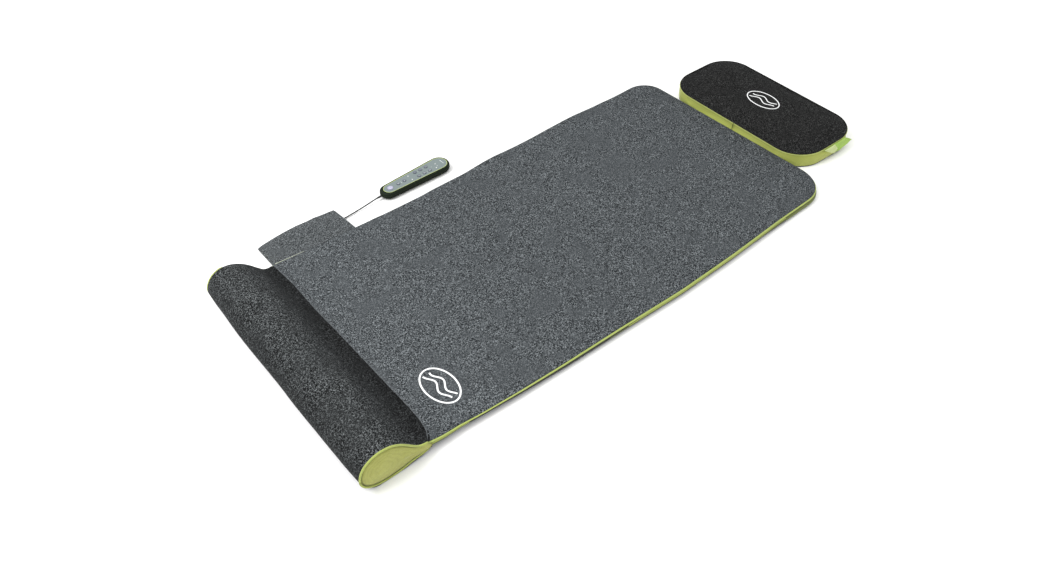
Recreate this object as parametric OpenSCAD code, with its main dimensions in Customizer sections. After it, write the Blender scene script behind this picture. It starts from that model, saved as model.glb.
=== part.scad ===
// Back-stretching air mat: a flat padded mat with six air cells, a pump roll
// across its foot, a side pocket with a corded hand control, and a loose pillow.
// Millimetres. +X runs along the mat towards the head, +Y is the pocket side,
// +Z is up. The origin is on the underside, at the middle of the padded panel.

/* [Mat] */
// Length of the padded panel
pad_l = 1050; // [1040:1:1060]
// Width of the padded panel
pad_w = 560; // [550:1:570]
// Thickness of the deflated panel
pad_t = 20; // [20:0.5:22]
// Corner radius at the head
pad_r = 60; // [45:1:75]
// Distance from the middle of the panel to the folding line
fold_x = 75; // [70:1:80]
// Clear gap between the two halves at the folding line
fold_gap = 0.6; // [0.4:0.1:1]

/* [Bolster] */
// Radius of the pump roll
roll_r = 41; // [40:0.5:42]
// Distance from the panel's foot edge to the middle of the roll
roll_off = 100; // [98:1:104]
// Thickness of the roll's fabric cover
cover_t = 1.5; // [1:0.1:2]

/* [Air cells] */
// Thickness of an empty air cell
cell_t = 7.4; // [6:0.1:7.4]
// Gap around a cell's cover patch
patch_gap = 0.4; // [0.3:0.1:0.8]

/* [Hand control] */
// Length of the hand control
hc_l = 183; // [181:1:185]
// Radius of its narrow end
hc_r1 = 20; // [19:0.5:21]
// Radius of its wide end
hc_r2 = 25.5; // [25:0.5:27]
// Radial clearance around a push button
btn_gap = 0.3; // [0.2:0.05:0.4]

/* [Pillow] */
// Length of the pillow, across the mat
pil_l = 408; // [400:1:420]
// Width of the pillow, along the mat
pil_w = 204; // [200:1:206]
// Height of the pillow
pil_h = 50; // [46:1:56]
// Corner radius of the pillow
pil_r = 74; // [60:1:90]

/* [Hidden] */
e = 0.01;
x_foot = -pad_l/2;
x_head = pad_l/2;
x_roll = x_foot - roll_off;
skin = 1.5;              // underside fabric
top_t = 2;               // top fabric laminate
z_top = pad_t - top_t;   // underside of the top laminate
foam_in = 14;            // the foam ends this far inside the panel's edge
foam_lo = skin + 0.3;
foam_hi = z_top - 0.3;
cell_lo = foam_hi - cell_t;
lane_z = 5.8;            // height of the hoses in the panel
lanes = [-45, -27, -9, 9, 27, 45];
grey = [0.30, 0.32, 0.33];
dark = [0.12, 0.13, 0.13];
lime = [0.66, 0.74, 0.30];

// name index, x low, x high, y low, y high, hose lane
HIP_L = [-335, -165, -212, -18, 0];
HIP_R = [-335, -165, 18, 212, 5];
LUMB = [-120, 15, -205, 205, 2];
UPPER = [140, 285, -205, 205, 3];
SHO_L = [325, 465, -212, -18, 1];
SHO_R = [325, 465, 18, 212, 4];
foot_cells = [HIP_L, HIP_R, LUMB];
head_cells = [SHO_L, SHO_R, UPPER];

// ---------- shared 2-D outlines ----------
module pad_2d(d = 0) {
  offset(delta = -d) hull() {
    translate([x_foot, -pad_w/2]) square([10, pad_w]);
    for (s = [-1, 1]) translate([x_head - pad_r, s*(pad_w/2 - pad_r)]) circle(r = pad_r, $fn = 64);
  }
}
// the same outline drawn in by d on its sides and head, but not at the foot
module pad_in_2d(d) {
  pad_2d(d);
  translate([x_foot, -pad_w/2 + d]) square([d + 1, pad_w - 2*d]);
}
module foot_side_2d() translate([x_foot, -400]) square([fold_x - fold_gap/2 - x_foot, 800]);
module head_side_2d() translate([fold_x + fold_gap/2, -400]) square([x_head, 800]);
module cell_2d(c, g = 0) {
  translate([c[0] - g, c[2] - g]) square([c[1] - c[0] + 2*g, c[3] - c[2] + 2*g]);
}
module soft_cell_2d(c, r = 12) { offset(r = r, $fn = 32) offset(delta = -r) cell_2d(c); }

// ---------- panel ----------
module top_panel_half(cells) {
  translate([0, 0, z_top]) linear_extrude(top_t) difference() {
    intersection() { pad_in_2d(3.2); children(); }
    for (c = cells) cell_2d(c);
  }
}
module side_band_half() {
  translate([0, 0, foam_lo]) linear_extrude(z_top - foam_lo - 1) intersection() {
    difference() { pad_2d(0); pad_in_2d(2); }
    children();
  }
  translate([0, 0, z_top - 1]) linear_extrude(top_t + 1) intersection() {
    difference() { pad_2d(0); pad_in_2d(3); }
    children();
  }
}
module foam_half(cells, x_stop) {
  difference() {
    translate([0, 0, foam_lo]) linear_extrude(foam_hi - foam_lo) intersection() {
      pad_in_2d(foam_in);
      children();
    }
    for (c = cells) {
      translate([0, 0, cell_lo - 0.3]) linear_extrude(20) cell_2d(c, -0.5);
      translate([port(c)[0], port(c)[1], lane_z]) cylinder(h = 6, r = 3.1, $fn = 32);
    }
    for (c = concat(foot_cells, head_cells))
      translate([x_foot - 5, port(c)[1] - 3.2, lane_z - 3.2])
        cube([port(c)[0] + 3.2 - x_foot + 5, 6.4, 6.4]);
  }
}
function port(c) = [c[0] + 14, lanes[c[4]]];
// welded film bladder with its elbow port
module air_cell(c) {
  translate([0, 0, cell_lo]) linear_extrude(cell_t - 0.3) soft_cell_2d([c[0] + 1.5, c[1] - 1.5, c[2] + 1.5, c[3] - 1.5]);
  p = port(c);
  translate([p[0], p[1], lane_z]) {
    cylinder(h = cell_lo - lane_z + 0.5, r = 2.4, $fn = 32);
    sphere(r = 2.4, $fn = 32);
    translate([-6, 0, 0]) rotate([0, 90, 0]) cylinder(h = 6, r = 2.4, $fn = 32);
  }
}
module patch(c) {
  translate([0, 0, z_top]) linear_extrude(top_t) cell_2d(c, -patch_gap);
}
// straight tube between two points
module seg(a, b, r) {
  d = b - a; l = norm(d);
  translate(a) rotate([0, acos(d[2]/l), atan2(d[1], d[0])]) cylinder(h = l, r = r, $fn = 24);
}
module neck_run(y, r) {
  p = [[x_roll + 22, y, 31], [x_roll + 36, y, 31], [x_roll + 76, y, lane_z], [x_foot + 6, y, lane_z]];
  for (i = [0:2]) seg(p[i], p[i + 1], r);
  for (i = [1:2]) translate(p[i]) sphere(r = r, $fn = 24);
}
module foot_hoses() {
  color("lightgray") {
    for (c = concat(foot_cells, head_cells)) {
      y = port(c)[1];
      x_end = min(port(c)[0] - 6.1, fold_x - fold_gap/2);
      neck_run(y, 2.5);
      seg([x_foot + 6, y, lane_z], [x_end, y, lane_z], 2.5);
    }
  }
}
module head_hoses() {
  color("lightgray") for (c = head_cells)
    seg([fold_x + fold_gap/2, port(c)[1], lane_z], [port(c)[0] - 6.1, port(c)[1], lane_z], 2.5);
}

// ---------- pump roll ----------
// closed outline in X and Z: round roll, easing down to the panel's height
function ease_z(t, z0, z1, m0, m1, w) =
  (2*t*t*t - 3*t*t + 1)*z0 + (t*t*t - 2*t*t + t)*m0*w + (-2*t*t*t + 3*t*t)*z1 + (t*t*t - t*t)*m1*w;
roll_a = 52;   // angle above the floor side where the round part ends
function roll_pts() = let(
    xs = x_roll + roll_r*cos(roll_a), zs = roll_r + roll_r*sin(roll_a), w = x_foot - 1 - xs,
    m0 = -cos(roll_a)/sin(roll_a))
  concat(
    [for (a = [270:-7.5:roll_a + 7.5]) [x_roll + roll_r*cos(a), roll_r + roll_r*sin(a)]],
    [for (i = [0:14]) let(t = i/14) [xs + w*t, ease_z(t, zs, pad_t, m0, -0.30, w)]],
    [[x_foot - 1, 0]]);
module roll_2d(d = 0) { offset(delta = -d) polygon(roll_pts()); }
module along_y(y0, y1) { translate([0, y1, 0]) rotate([90, 0, 0]) linear_extrude(y1 - y0) children(); }
cap_in = pad_w/2 - 0.5;
module bolster_cover() {
  color(dark) difference() {
    along_y(-cap_in, cap_in) roll_2d();
    along_y(-400, 400) roll_2d(cover_t);
    // mouth into the padded panel for the hoses
    translate([x_foot - 6, -52, lane_z - 3.4]) cube([10, 104, 6.8]);
  }
}
case_x = 25; case_z = 22; case_y = 130;
module bolster_foam() {
  color("khaki") difference() {
    along_y(-cap_in + 1, cap_in - 1) roll_2d(cover_t + 0.3);
    translate([x_roll - case_x - 0.6, -case_y - 0.6, roll_r - case_z - 0.6])
      cube([2*case_x + 1.2, 2*case_y + 1.2, 2*case_z + 1.2]);
    for (y = lanes) neck_run(y, 3.1);
    // pocket for the power inlet
    translate([x_roll, cap_in - 1 - 20, 30]) rotate([-90, 0, 0]) cylinder(h = 30, r = 8, $fn = 48);
  }
}
module end_cap(hole) {
  color(lime) difference() {
    union() {
      along_y(0.3, 3.4) roll_2d(0);
      along_y(3.4, 5) roll_2d(5);
      // piping round the seam
      along_y(3.4, 4.6) difference() { roll_2d(0); roll_2d(3.5); }
    }
    if (hole) translate([x_roll, -1, 30]) rotate([-90, 0, 0]) cylinder(h = 9, r = 7.3, $fn = 48);
  }
}
module left_end_cap() { translate([0, -cap_in, 0]) mirror([0, 1, 0]) end_cap(false); }
module right_end_cap() { translate([0, cap_in, 0]) end_cap(true); }

module pump_case_lower() {
  color("dimgray") difference() {
    translate([x_roll - case_x, -case_y, roll_r - case_z]) cube([2*case_x, 2*case_y, case_z]);
    translate([x_roll - case_x + 2, -case_y + 2, roll_r - case_z + 2]) cube([2*case_x - 4, 2*case_y - 4, case_z]);
    for (y = lanes) translate([x_roll + case_x - 4, y, 31]) rotate([0, 90, 0]) cylinder(h = 8, r = 2.7, $fn = 32);
  }
}
module pump_case_upper() {
  color("gray") difference() {
    translate([x_roll - case_x, -case_y, roll_r + 0.1]) cube([2*case_x, 2*case_y, case_z - 0.1]);
    translate([x_roll - case_x + 2, -case_y + 2, roll_r - 1]) cube([2*case_x - 4, 2*case_y - 4, case_z - 1]);
    // air intake slots
    for (i = [0:5]) translate([x_roll - 12, -118 + i*6, roll_r + case_z - 3]) cube([24, 3, 4]);
  }
}
shaft_r = 1.6;
module pump_motor() {
  color("silver") difference() {
    union() {
      translate([x_roll, -126, roll_r]) rotate([-90, 0, 0]) cylinder(h = 31, r = 13.5, $fn = 64);
      translate([x_roll, -95, roll_r]) rotate([-90, 0, 0]) cylinder(h = 2, r = 5, $fn = 48);
    }
    translate([x_roll, -124, roll_r]) rotate([-90, 0, 0]) cylinder(h = 40, r = shaft_r + 0.05, $fn = 32);
  }
}
module pump_rotor() {
  color("goldenrod") {
    translate([x_roll, -122, roll_r]) rotate([-90, 0, 0]) cylinder(h = 52, r = shaft_r, $fn = 32);
    translate([x_roll, -85, roll_r]) rotate([-90, 0, 0]) cylinder(h = 7, r = 5, $fn = 48);
    translate([x_roll + 2.2, -84, roll_r]) rotate([-90, 0, 0]) cylinder(h = 5, r = 8, $fn = 48);
  }
}
module pump_head() {
  color("darkslategray") {
    difference() {
      translate([x_roll - 17, -92.8, roll_r - 17]) cube([34, 30.8, 34]);
      translate([x_roll, -88, roll_r]) rotate([-90, 0, 0]) cylinder(h = 14, r = 12, $fn = 64);
      translate([x_roll, -94, roll_r]) rotate([-90, 0, 0]) cylinder(h = 25, r = shaft_r + 0.05, $fn = 32);
    }
    translate([x_roll, -62, 31]) rotate([-90, 0, 0]) cylinder(h = 5, r = 3, $fn = 32);
  }
}
module valve_bank() {
  color("steelblue") {
    difference() {
      translate([x_roll - 10, -56, 24]) cube([20, 112, 14]);
      translate([x_roll, -57, 31]) rotate([-90, 0, 0]) cylinder(h = 108, r = 3.1, $fn = 32);
    }
    for (y = lanes) {
      translate([x_roll - 7, y - 7, 38]) cube([14, 14, 17]);
      translate([x_roll + 10, y, 31]) rotate([0, 90, 0]) cylinder(h = 12, r = 2.3, $fn = 32);
    }
  }
}
module control_board() {
  color("darkgreen") {
    translate([x_roll - 20, 62, 29]) cube([40, 62, 1.6]);
    translate([x_roll - 8, 74, 30.6]) cube([12, 12, 1.6]);
    translate([x_roll - 16, 98, 30.6]) cube([10, 20, 9]);
    translate([x_roll + 4, 96, 30.6]) cube([12, 8, 7]);
    for (i = [0:3]) translate([x_roll + 12, 68 + 6*i, 30.6]) cylinder(h = 8, r = 2.4, $fn = 32);
  }
}
jack_y = cap_in + 5.6;
module dc_jack() {
  color("black") translate([x_roll, 0, 30]) {
    difference() {
      union() {
        translate([0, jack_y - 18, 0]) rotate([-90, 0, 0]) cylinder(h = 18, r = 7, $fn = 64);
        translate([0, jack_y - 0.3, 0]) rotate([-90, 0, 0]) cylinder(h = 1.6, r = 9, $fn = 64);
      }
      translate([0, jack_y - 2.7, 0]) rotate([-90, 0, 0]) cylinder(h = 6, r = 3.3, $fn = 64);
      translate([0, jack_y - 12, 0]) rotate([-90, 0, 0]) cylinder(h = 12, r = 3.05, $fn = 64);
    }
    translate([0, jack_y - 12.5, 0]) rotate([-90, 0, 0]) cylinder(h = 8, r = 1, $fn = 32);
  }
}

// ---------- side pocket and its cord ----------
pk_x0 = -518; pk_x1 = -336; pk_y0 = pad_w/2 + 0.4; pk_y1 = 361;
module pocket_2d(d = 0) {
  offset(delta = -d) polygon([[pk_y0, 0.4], [pk_y1, 0.4], [pk_y1, 4.6], [pk_y0 + 44, 12.8], [pk_y0, 18.6]]);
}
module side_pocket() {
  color(grey) difference() {
    translate([pk_x0, 0, 0]) rotate([90, 0, 90]) linear_extrude(pk_x1 - pk_x0) pocket_2d();
    translate([pk_x0 + 1.4, 0, 0]) rotate([90, 0, 90]) linear_extrude(pk_x1 - pk_x0) pocket_2d(1.2);
    // way through for the cord at the grommet
    translate([coil_c[0] - coil_m, pk_y0 - 2, 8]) rotate([-90, 0, 0]) cylinder(h = 4, r = 3.4, $fn = 48);
  }
}
cord_r = 1.5;
coil_c = [-468, 314];
coil_m = 17;            // mean radius of the stowed turns
module cord_grommet() {
  color("black") translate([coil_c[0] - coil_m, pad_w/2, 8]) rotate([-90, 0, 0]) {
    translate([0, 0, 0.2]) cylinder(h = 5, r = 3.1, $fn = 48);
  }
}
module cord_coil() {
  color("black") translate([coil_c[0], coil_c[1], 1.8])
    rotate_extrude($fn = 96) translate([coil_m - 2*cord_r, 0]) square([4*cord_r, 4*cord_r]);
}
// route from the grommet into the coil, and from the coil to the hand control
tail_pts = [[-485, 285.2, 8], [-485, 289, 7.9], [-485.2, 293, 7.5], [-485.6, 298, 7.0], [-486.1, 303, 6.6], [-486.4, 308, 6.4]];
run_pts = [[-462, 332.3, 3.4], [-450, 331.8, 3.4], [-436, 331.2, 3.4], [-420, 330.6, 3.4], [-404, 330.1, 3.4], [-388, 329.7, 3.4],
  [-372, 329.4, 3.4], [-356, 329.3, 3.4], [-344, 329.3, 3.4], [-334, 329.3, 3.2], [-324, 329.2, 3.0], [-312, 329.1, 3.1],
  [-298, 329.2, 3.8], [-284, 329.7, 5.0], [-272, 330.8, 6.4], [-262, 332.3, 7.6], [-254, 333.9, 8.5], [-248.5, 334.7, 8.9], [-245.4, 335.05, 9.03], [-242.45, 335.2, 9.05]];
function unit(v) = v/norm(v);
function tangent(p, i) = unit(p[min(i + 1, len(p) - 1)] - p[max(i - 1, 0)]);
function ring(c, t, r, n) = let(
    u = unit(cross(t, [0, 0, 1])), v = cross(u, t))
  [for (k = [0:n - 1]) c + r*cos(360*k/n)*u + r*sin(360*k/n)*v];
module sweep(p, r, n = 8) {
  pts = [for (i = [0:len(p) - 1]) each ring(p[i], tangent(p, i), r, n)];
  m = len(p);
  polyhedron(points = pts, faces = concat(
    [[for (k = [0:n - 1]) k]],
    [for (i = [0:m - 2], k = [0:n - 1]) [i*n + k, (i + 1)*n + k, (i + 1)*n + (k + 1)%n, i*n + (k + 1)%n]],
    [[for (k = [n - 1:-1:0]) (m - 1)*n + k]]));
}
module handset_cord() { color("black") { sweep(tail_pts, cord_r); sweep(run_pts, cord_r); } }

// ---------- hand control ----------
hc_pos = [-231, 335.6, 0];
hc_turn = 2;
module hc() { translate(hc_pos) rotate([0, 0, hc_turn]) children(); }
module hc_2d(d = 0) {
  hull() {
    translate([hc_r1, 0]) circle(r = hc_r1 - d, $fn = 72);
    translate([hc_l - hc_r2, 0]) circle(r = hc_r2 - d, $fn = 72);
  }
}
// the face's outline, which sits further back at the narrow end
module hc_face_2d(d = 0) {
  hull() {
    translate([hc_r1 + 4, 0]) circle(r = hc_r1 - d, $fn = 72);
    translate([hc_l - hc_r2, 0]) circle(r = hc_r2 - d, $fn = 72);
  }
}
// along, across, radius of each button
BTN = [[25, 0, 6.4], [47, 0, 4], [63, 0, 4],
  [98, 8, 4.2], [113, 8, 4.2], [128, 8, 4.2], [98, -8, 4.2], [113, -8, 4.2], [128, -8, 4.2]];
LED = [[79, 8], [79, -8], [151, 3], [145, -10]];
BOSS = [[33, 13], [33, -13], [82, 16], [82, -16], [165, 12], [165, -12]];
module hc_screws_at() { for (b = BOSS) translate([b[0], b[1], 0]) children(); }
module handset_lower_shell() {
  color([0.13, 0.15, 0.13]) hc() difference() {
    union() {
      difference() {
        union() {
          hull() {
            linear_extrude(0.5) hc_2d(5);
            translate([0, 0, 2.4]) linear_extrude(0.5) hc_2d(1.6);
            translate([0, 0, 5.2]) linear_extrude(0.5) hc_2d(0.4);
          }
          translate([0, 0, 5.7]) linear_extrude(3.3) hc_2d(0);
        }
        translate([0, 0, 2.4]) linear_extrude(10) hc_2d(3.8);
      }
      hc_screws_at() cylinder(h = 9, r = 2.9, $fn = 32);
    }
    hc_screws_at() translate([0, 0, -1]) cylinder(h = 12, r = 1.35, $fn = 32);
    hc_screws_at() translate([0, 0, -1]) cylinder(h = 3.2, r = 2.4, $fn = 32);
    translate([-1, 0, 9.05]) rotate([0, 90, 0]) cylinder(h = 8, r = 2.6, $fn = 32);
  }
}
module handset_upper_shell() {
  color([0.13, 0.15, 0.13]) hc() difference() {
    union() {
      difference() {
        union() {
          translate([0, 0, 9.1]) linear_extrude(4.4) hc_2d(0);
          hull() {
            translate([0, 0, 13.4]) linear_extrude(0.2) hc_2d(0.2);
            translate([0, 0, 17.0]) linear_extrude(0.2) hc_2d(2.4);
          }
        }
        translate([0, 0, 8]) linear_extrude(5.8) hc_2d(3);
        translate([0, 0, 15.6]) linear_extrude(4) hc_face_2d(5.2);
      }
      hc_screws_at() translate([0, 0, 9.1]) cylinder(h = 5, r = 2.7, $fn = 32);
    }
    hc_screws_at() translate([0, 0, 8]) cylinder(h = 5.2, r = 1.15, $fn = 32);
    for (b = BTN) translate([b[0], b[1], 12]) cylinder(h = 6, r = b[2] + btn_gap, $fn = 48);
    for (l = LED) translate([l[0], l[1], 12]) cylinder(h = 6, r = 1.3, $fn = 32);
    translate([-1, 0, 9.05]) rotate([0, 90, 0]) cylinder(h = 8, r = 2.6, $fn = 32);
  }
}
module handset_inlay() {
  color([0.75, 0.80, 0.35]) hc() translate([0, 0, 15.7]) linear_extrude(1.9) difference() { hc_face_2d(5.3); hc_face_2d(6.1); }
}
module handset_face() {
  color([0.55, 0.60, 0.60]) hc() difference() {
    translate([0, 0, 15.7]) linear_extrude(1.7) hc_face_2d(6.2);
    for (b = BTN) translate([b[0], b[1], 12]) cylinder(h = 8, r = b[2] + btn_gap, $fn = 48);
    for (l = LED) translate([l[0], l[1], 12]) cylinder(h = 8, r = 1.3, $fn = 32);
  }
}
module handset_board() {
  color("darkgreen") hc() {
    difference() {
      translate([0, 0, 9.6]) linear_extrude(1.1) hc_2d(4);
      hc_screws_at() translate([0, 0, 9]) cylinder(h = 3, r = 3, $fn = 32);
    }
    for (b = BTN) translate([b[0] - 2.2, b[1] - 2.2, 10.7]) cube([4.4, 4.4, 1.1]);
  }
}
module handset_leds() {
  color("white") hc() for (l = LED) translate([l[0], l[1], 10.75]) cylinder(h = 6.8, r = 1.15, $fn = 32);
}
module handset_screws() {
  color("silver") hc() hc_screws_at() {
    translate([0, 0, 0.8]) cylinder(h = 1.35, r = 2.2, $fn = 32);
    translate([0, 0, 2.1]) cylinder(h = 10.4, r = 1.1, $fn = 32);
  }
}
module handset_strain_relief() {
  color("black") hc() translate([0, 0, 9.05]) rotate([0, 90, 0]) rotate_extrude($fn = 48)
    polygon([[0, -11.4], [1.9, -11.4], [2.5, -0.5], [2.5, 3.2], [0, 3.2]]);
}
module button(i) {
  hc() translate([BTN[i][0], BTN[i][1], 0]) {
    translate([0, 0, 12.5]) cylinder(h = 5.9, r = BTN[i][2], $fn = 48);
    translate([0, 0, 12.5]) cylinder(h = 0.7, r = BTN[i][2] + 0.8, $fn = 48);
  }
}

// ---------- pillow ----------
pil_c = [x_head + 3 + pil_w/2, -2];
module pil_2d(d = 0) {
  translate(pil_c) offset(r = pil_r - d, $fn = 96) square([pil_w - 2*pil_r, pil_l - 2*pil_r], center = true);
}
band_z = pil_h - 6;
module pillow_bottom() { color(dark) linear_extrude(1.5) pil_2d(1); }
module pillow_band() { color(lime) translate([0, 0, 1.6]) linear_extrude(band_z - 1.6) difference() { pil_2d(0); pil_2d(2); } }
module pillow_top() {
  color(dark) difference() {
    union() {
      translate([0, 0, band_z + 0.1]) linear_extrude(2.4) pil_2d(1);
      hull() {
        translate([0, 0, band_z + 2]) linear_extrude(0.5) pil_2d(2);
        translate([0, 0, pil_h - 0.5]) linear_extrude(0.5) pil_2d(30);
      }
    }
    hull() {
      translate([0, 0, band_z - 1]) linear_extrude(1.5) pil_2d(4);
      translate([0, 0, pil_h - 2.6]) linear_extrude(0.5) pil_2d(32);
    }
  }
}
module pillow_core() {
  color("ivory") {
    translate([0, 0, 1.9]) linear_extrude(band_z - 1.9) pil_2d(2.6);
  }
}
st_y = pil_c[1] - pil_l/2 - 0.3;
module pillow_strap() {
  color(lime) translate([0, 0, 8]) linear_extrude(27)
    polygon([[598, st_y], [652, st_y], [703, st_y - 13], [702, st_y - 17], [650, st_y - 3], [598, st_y - 3]]);
}

color(grey) top_panel_half(foot_cells) foot_side_2d();  // foot_top_panel
color(lime) side_band_half() foot_side_2d();  // foot_side_band
color(dark) linear_extrude(skin) intersection() { pad_2d(0); foot_side_2d(); }  // foot_bottom_panel
color("khaki") foam_half(foot_cells) foot_side_2d();  // foot_foam
color("lightblue") air_cell(HIP_L);  // hip_left_cell
color("lightblue") air_cell(HIP_R);  // hip_right_cell
color("lightblue") air_cell(LUMB);  // lumbar_cell
foot_hoses();
bolster_cover();
bolster_foam();
left_end_cap();
right_end_cap();
pump_case_lower();
pump_case_upper();
pump_motor();
pump_rotor();
pump_head();
valve_bank();
control_board();
dc_jack();
side_pocket();
cord_grommet();
cord_coil();
handset_cord();
handset_lower_shell();
handset_upper_shell();
handset_face();
handset_inlay();
handset_board();
handset_leds();
handset_screws();
handset_strain_relief();
color(grey) top_panel_half(head_cells) head_side_2d();  // head_top_panel
color(lime) side_band_half() head_side_2d();  // head_side_band
color(dark) linear_extrude(skin) intersection() { pad_2d(0); head_side_2d(); }  // head_bottom_panel
color("khaki") foam_half(head_cells) head_side_2d();  // head_foam
color("lightblue") air_cell(SHO_L);  // shoulder_left_cell
color("lightblue") air_cell(SHO_R);  // shoulder_right_cell
color("lightblue") air_cell(UPPER);  // upper_back_cell
head_hoses();
color(grey) patch(HIP_L);  // hip_left_patch
color(grey) patch(HIP_R);  // hip_right_patch
color(grey) patch(LUMB);  // lumbar_patch
color(grey) patch(SHO_L);  // shoulder_left_patch
color(grey) patch(SHO_R);  // shoulder_right_patch
color(grey) patch(UPPER);  // upper_back_patch
pillow_top();
pillow_band();
pillow_bottom();
pillow_core();
pillow_strap();
color([0.75, 0.74, 0.85]) button(0);  // power_button
color(dark) button(1);  // warmth_button
color(dark) button(2);  // level_button
color(dark) button(3);  // program_button_1
color(dark) button(4);  // program_button_2
color(dark) button(5);  // program_button_3
color(dark) button(6);  // program_button_4
color(dark) button(7);  // program_button_5
color(dark) button(8);  // program_button_6
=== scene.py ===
import bpy
import bmesh
import math
import numpy as np
from mathutils import Vector, Matrix


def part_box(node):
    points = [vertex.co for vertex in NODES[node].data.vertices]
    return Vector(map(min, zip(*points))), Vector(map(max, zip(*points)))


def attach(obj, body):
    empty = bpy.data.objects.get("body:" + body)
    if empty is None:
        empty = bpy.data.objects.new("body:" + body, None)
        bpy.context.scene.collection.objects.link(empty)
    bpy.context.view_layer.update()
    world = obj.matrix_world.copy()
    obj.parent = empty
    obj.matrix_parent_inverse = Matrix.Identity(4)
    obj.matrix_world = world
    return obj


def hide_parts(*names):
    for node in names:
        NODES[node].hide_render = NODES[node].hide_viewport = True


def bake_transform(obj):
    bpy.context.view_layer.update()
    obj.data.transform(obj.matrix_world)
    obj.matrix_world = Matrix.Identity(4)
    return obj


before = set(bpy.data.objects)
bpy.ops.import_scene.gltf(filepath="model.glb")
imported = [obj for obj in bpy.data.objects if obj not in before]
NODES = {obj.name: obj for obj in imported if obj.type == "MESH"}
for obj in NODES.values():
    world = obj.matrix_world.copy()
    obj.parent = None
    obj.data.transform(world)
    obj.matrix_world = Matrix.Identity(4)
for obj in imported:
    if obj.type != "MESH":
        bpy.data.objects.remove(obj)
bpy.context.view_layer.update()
scene = bpy.context.scene

# ------------------------------------------------------------------ camera
AZ, EL, ROLL = math.radians(51.69074701), math.radians(44.47516581), math.radians(-1.56326328)
cam_at = Vector((-0.943467, -1.063705, 1.238132))
look = Vector((math.cos(EL) * math.cos(AZ), math.cos(EL) * math.sin(AZ), -math.sin(EL)))
right = look.cross(Vector((0, 0, 1))).normalized()
up = right.cross(look)
right2 = right * math.cos(ROLL) + up * math.sin(ROLL)
up2 = up * math.cos(ROLL) - right * math.sin(ROLL)
cam_data = bpy.data.cameras.new("camera")
cam_data.sensor_width = 36.0
cam_data.lens = 893.6846 / 1049 * 36.0
cam_data.clip_start, cam_data.clip_end = 0.05, 50
cam = bpy.data.objects.new("camera", cam_data)
scene.collection.objects.link(cam)
m = Matrix((right2, up2, -look)).transposed().to_4x4()
m.translation = cam_at
cam.matrix_world = m
scene.camera = cam

# ------------------------------------------------------------------ maths helpers
def smooth(t):
    t = np.clip(t, 0, 1)
    return t * t * (3 - 2 * t)


def _hash(ix, iy, iz, seed):
    h = (ix * 374761393 + iy * 668265263 + iz * 1274126177 + seed * 974634777) & 0xFFFFFFFF
    h = ((h ^ (h >> 13)) * 1103515245) & 0xFFFFFFFF
    h = ((h ^ (h >> 16)) * 2246822519) & 0xFFFFFFFF
    return ((h ^ (h >> 15)) & 0xFFFFFF) / float(0xFFFFFF)


def vnoise(P, scale, seed=0):
    """Smooth value noise, from -1 to 1. scale is a length or one length per axis."""
    q = np.asarray(P, float) / np.asarray(scale, float)
    i = np.floor(q).astype(np.int64)
    f = q - i
    f = f * f * (3 - 2 * f)
    out = 0
    for dx in (0, 1):
        for dy in (0, 1):
            for dz in (0, 1):
                w = (f[..., 0] if dx else 1 - f[..., 0]) * (f[..., 1] if dy else 1 - f[..., 1]) * (f[..., 2] if dz else 1 - f[..., 2])
                out = out + w * _hash(i[..., 0] + dx, i[..., 1] + dy, i[..., 2] + dz, seed)
    return out * 2 - 1


def catmull(P, n, closed=False):
    """n points per span through the points P."""
    P = np.asarray(P, float)
    m_ = len(P)
    out = []
    spans = m_ if closed else m_ - 1
    for i in range(spans):
        p0 = P[(i - 1) % m_] if closed or i > 0 else 2 * P[0] - P[1]
        p1, p2 = P[i], P[(i + 1) % m_]
        p3 = P[(i + 2) % m_] if closed or i + 2 < m_ else 2 * P[-1] - P[-2]
        for k in range(n):
            t = k / n
            out.append(0.5 * (2 * p1 + (p2 - p0) * t + (2 * p0 - 5 * p1 + 4 * p2 - p3) * t * t + (3 * p1 - p0 - 3 * p2 + p3) * t ** 3))
    if not closed:
        out.append(P[-1])
    return np.array(out)


def resample(P, n, closed=False):
    """n points evenly spaced along the polyline P."""
    P = np.asarray(P, float)
    if closed:
        P = np.vstack([P, P[:1]])
    s = np.concatenate([[0], np.cumsum(np.linalg.norm(np.diff(P, axis=0), axis=1))])
    t = np.linspace(0, s[-1], n + 1)[:-1] if closed else np.linspace(0, s[-1], n)
    return np.stack([np.interp(t, s, P[:, k]) for k in range(P.shape[1])], -1)


# ------------------------------------------------------------------ mesh helpers
def obj_from(name, verts, faces, mat, shade=True, weld=0):
    me = bpy.data.meshes.new(name)
    me.from_pydata([tuple(float(c) for c in v) for v in verts], [], [tuple(int(i) for i in f) for f in faces])
    if weld:
        bm = bmesh.new()
        bm.from_mesh(me)
        bmesh.ops.remove_doubles(bm, verts=bm.verts, dist=weld)
        bmesh.ops.dissolve_degenerate(bm, edges=bm.edges, dist=weld * 0.5)
        bm.to_mesh(me)
        bm.free()
    me.update()
    me.polygons.foreach_set("use_smooth", [shade] * len(me.polygons))
    o = bpy.data.objects.new(name, me)
    scene.collection.objects.link(o)
    for one in mat if isinstance(mat, (list, tuple)) else [mat]:
        me.materials.append(one)
    return o


def grid_faces(nu, nv, close_u=False, close_v=False, flip=False, base=0):
    f = []
    for i in range(nu if close_u else nu - 1):
        for j in range(nv if close_v else nv - 1):
            a, b = i * nv + j, i * nv + (j + 1) % nv
            c, d = ((i + 1) % nu) * nv + (j + 1) % nv, ((i + 1) % nu) * nv + j
            q = (a, b, c, d) if flip else (a, d, c, b)
            f.append(tuple(x + base for x in q))
    return f


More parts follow.
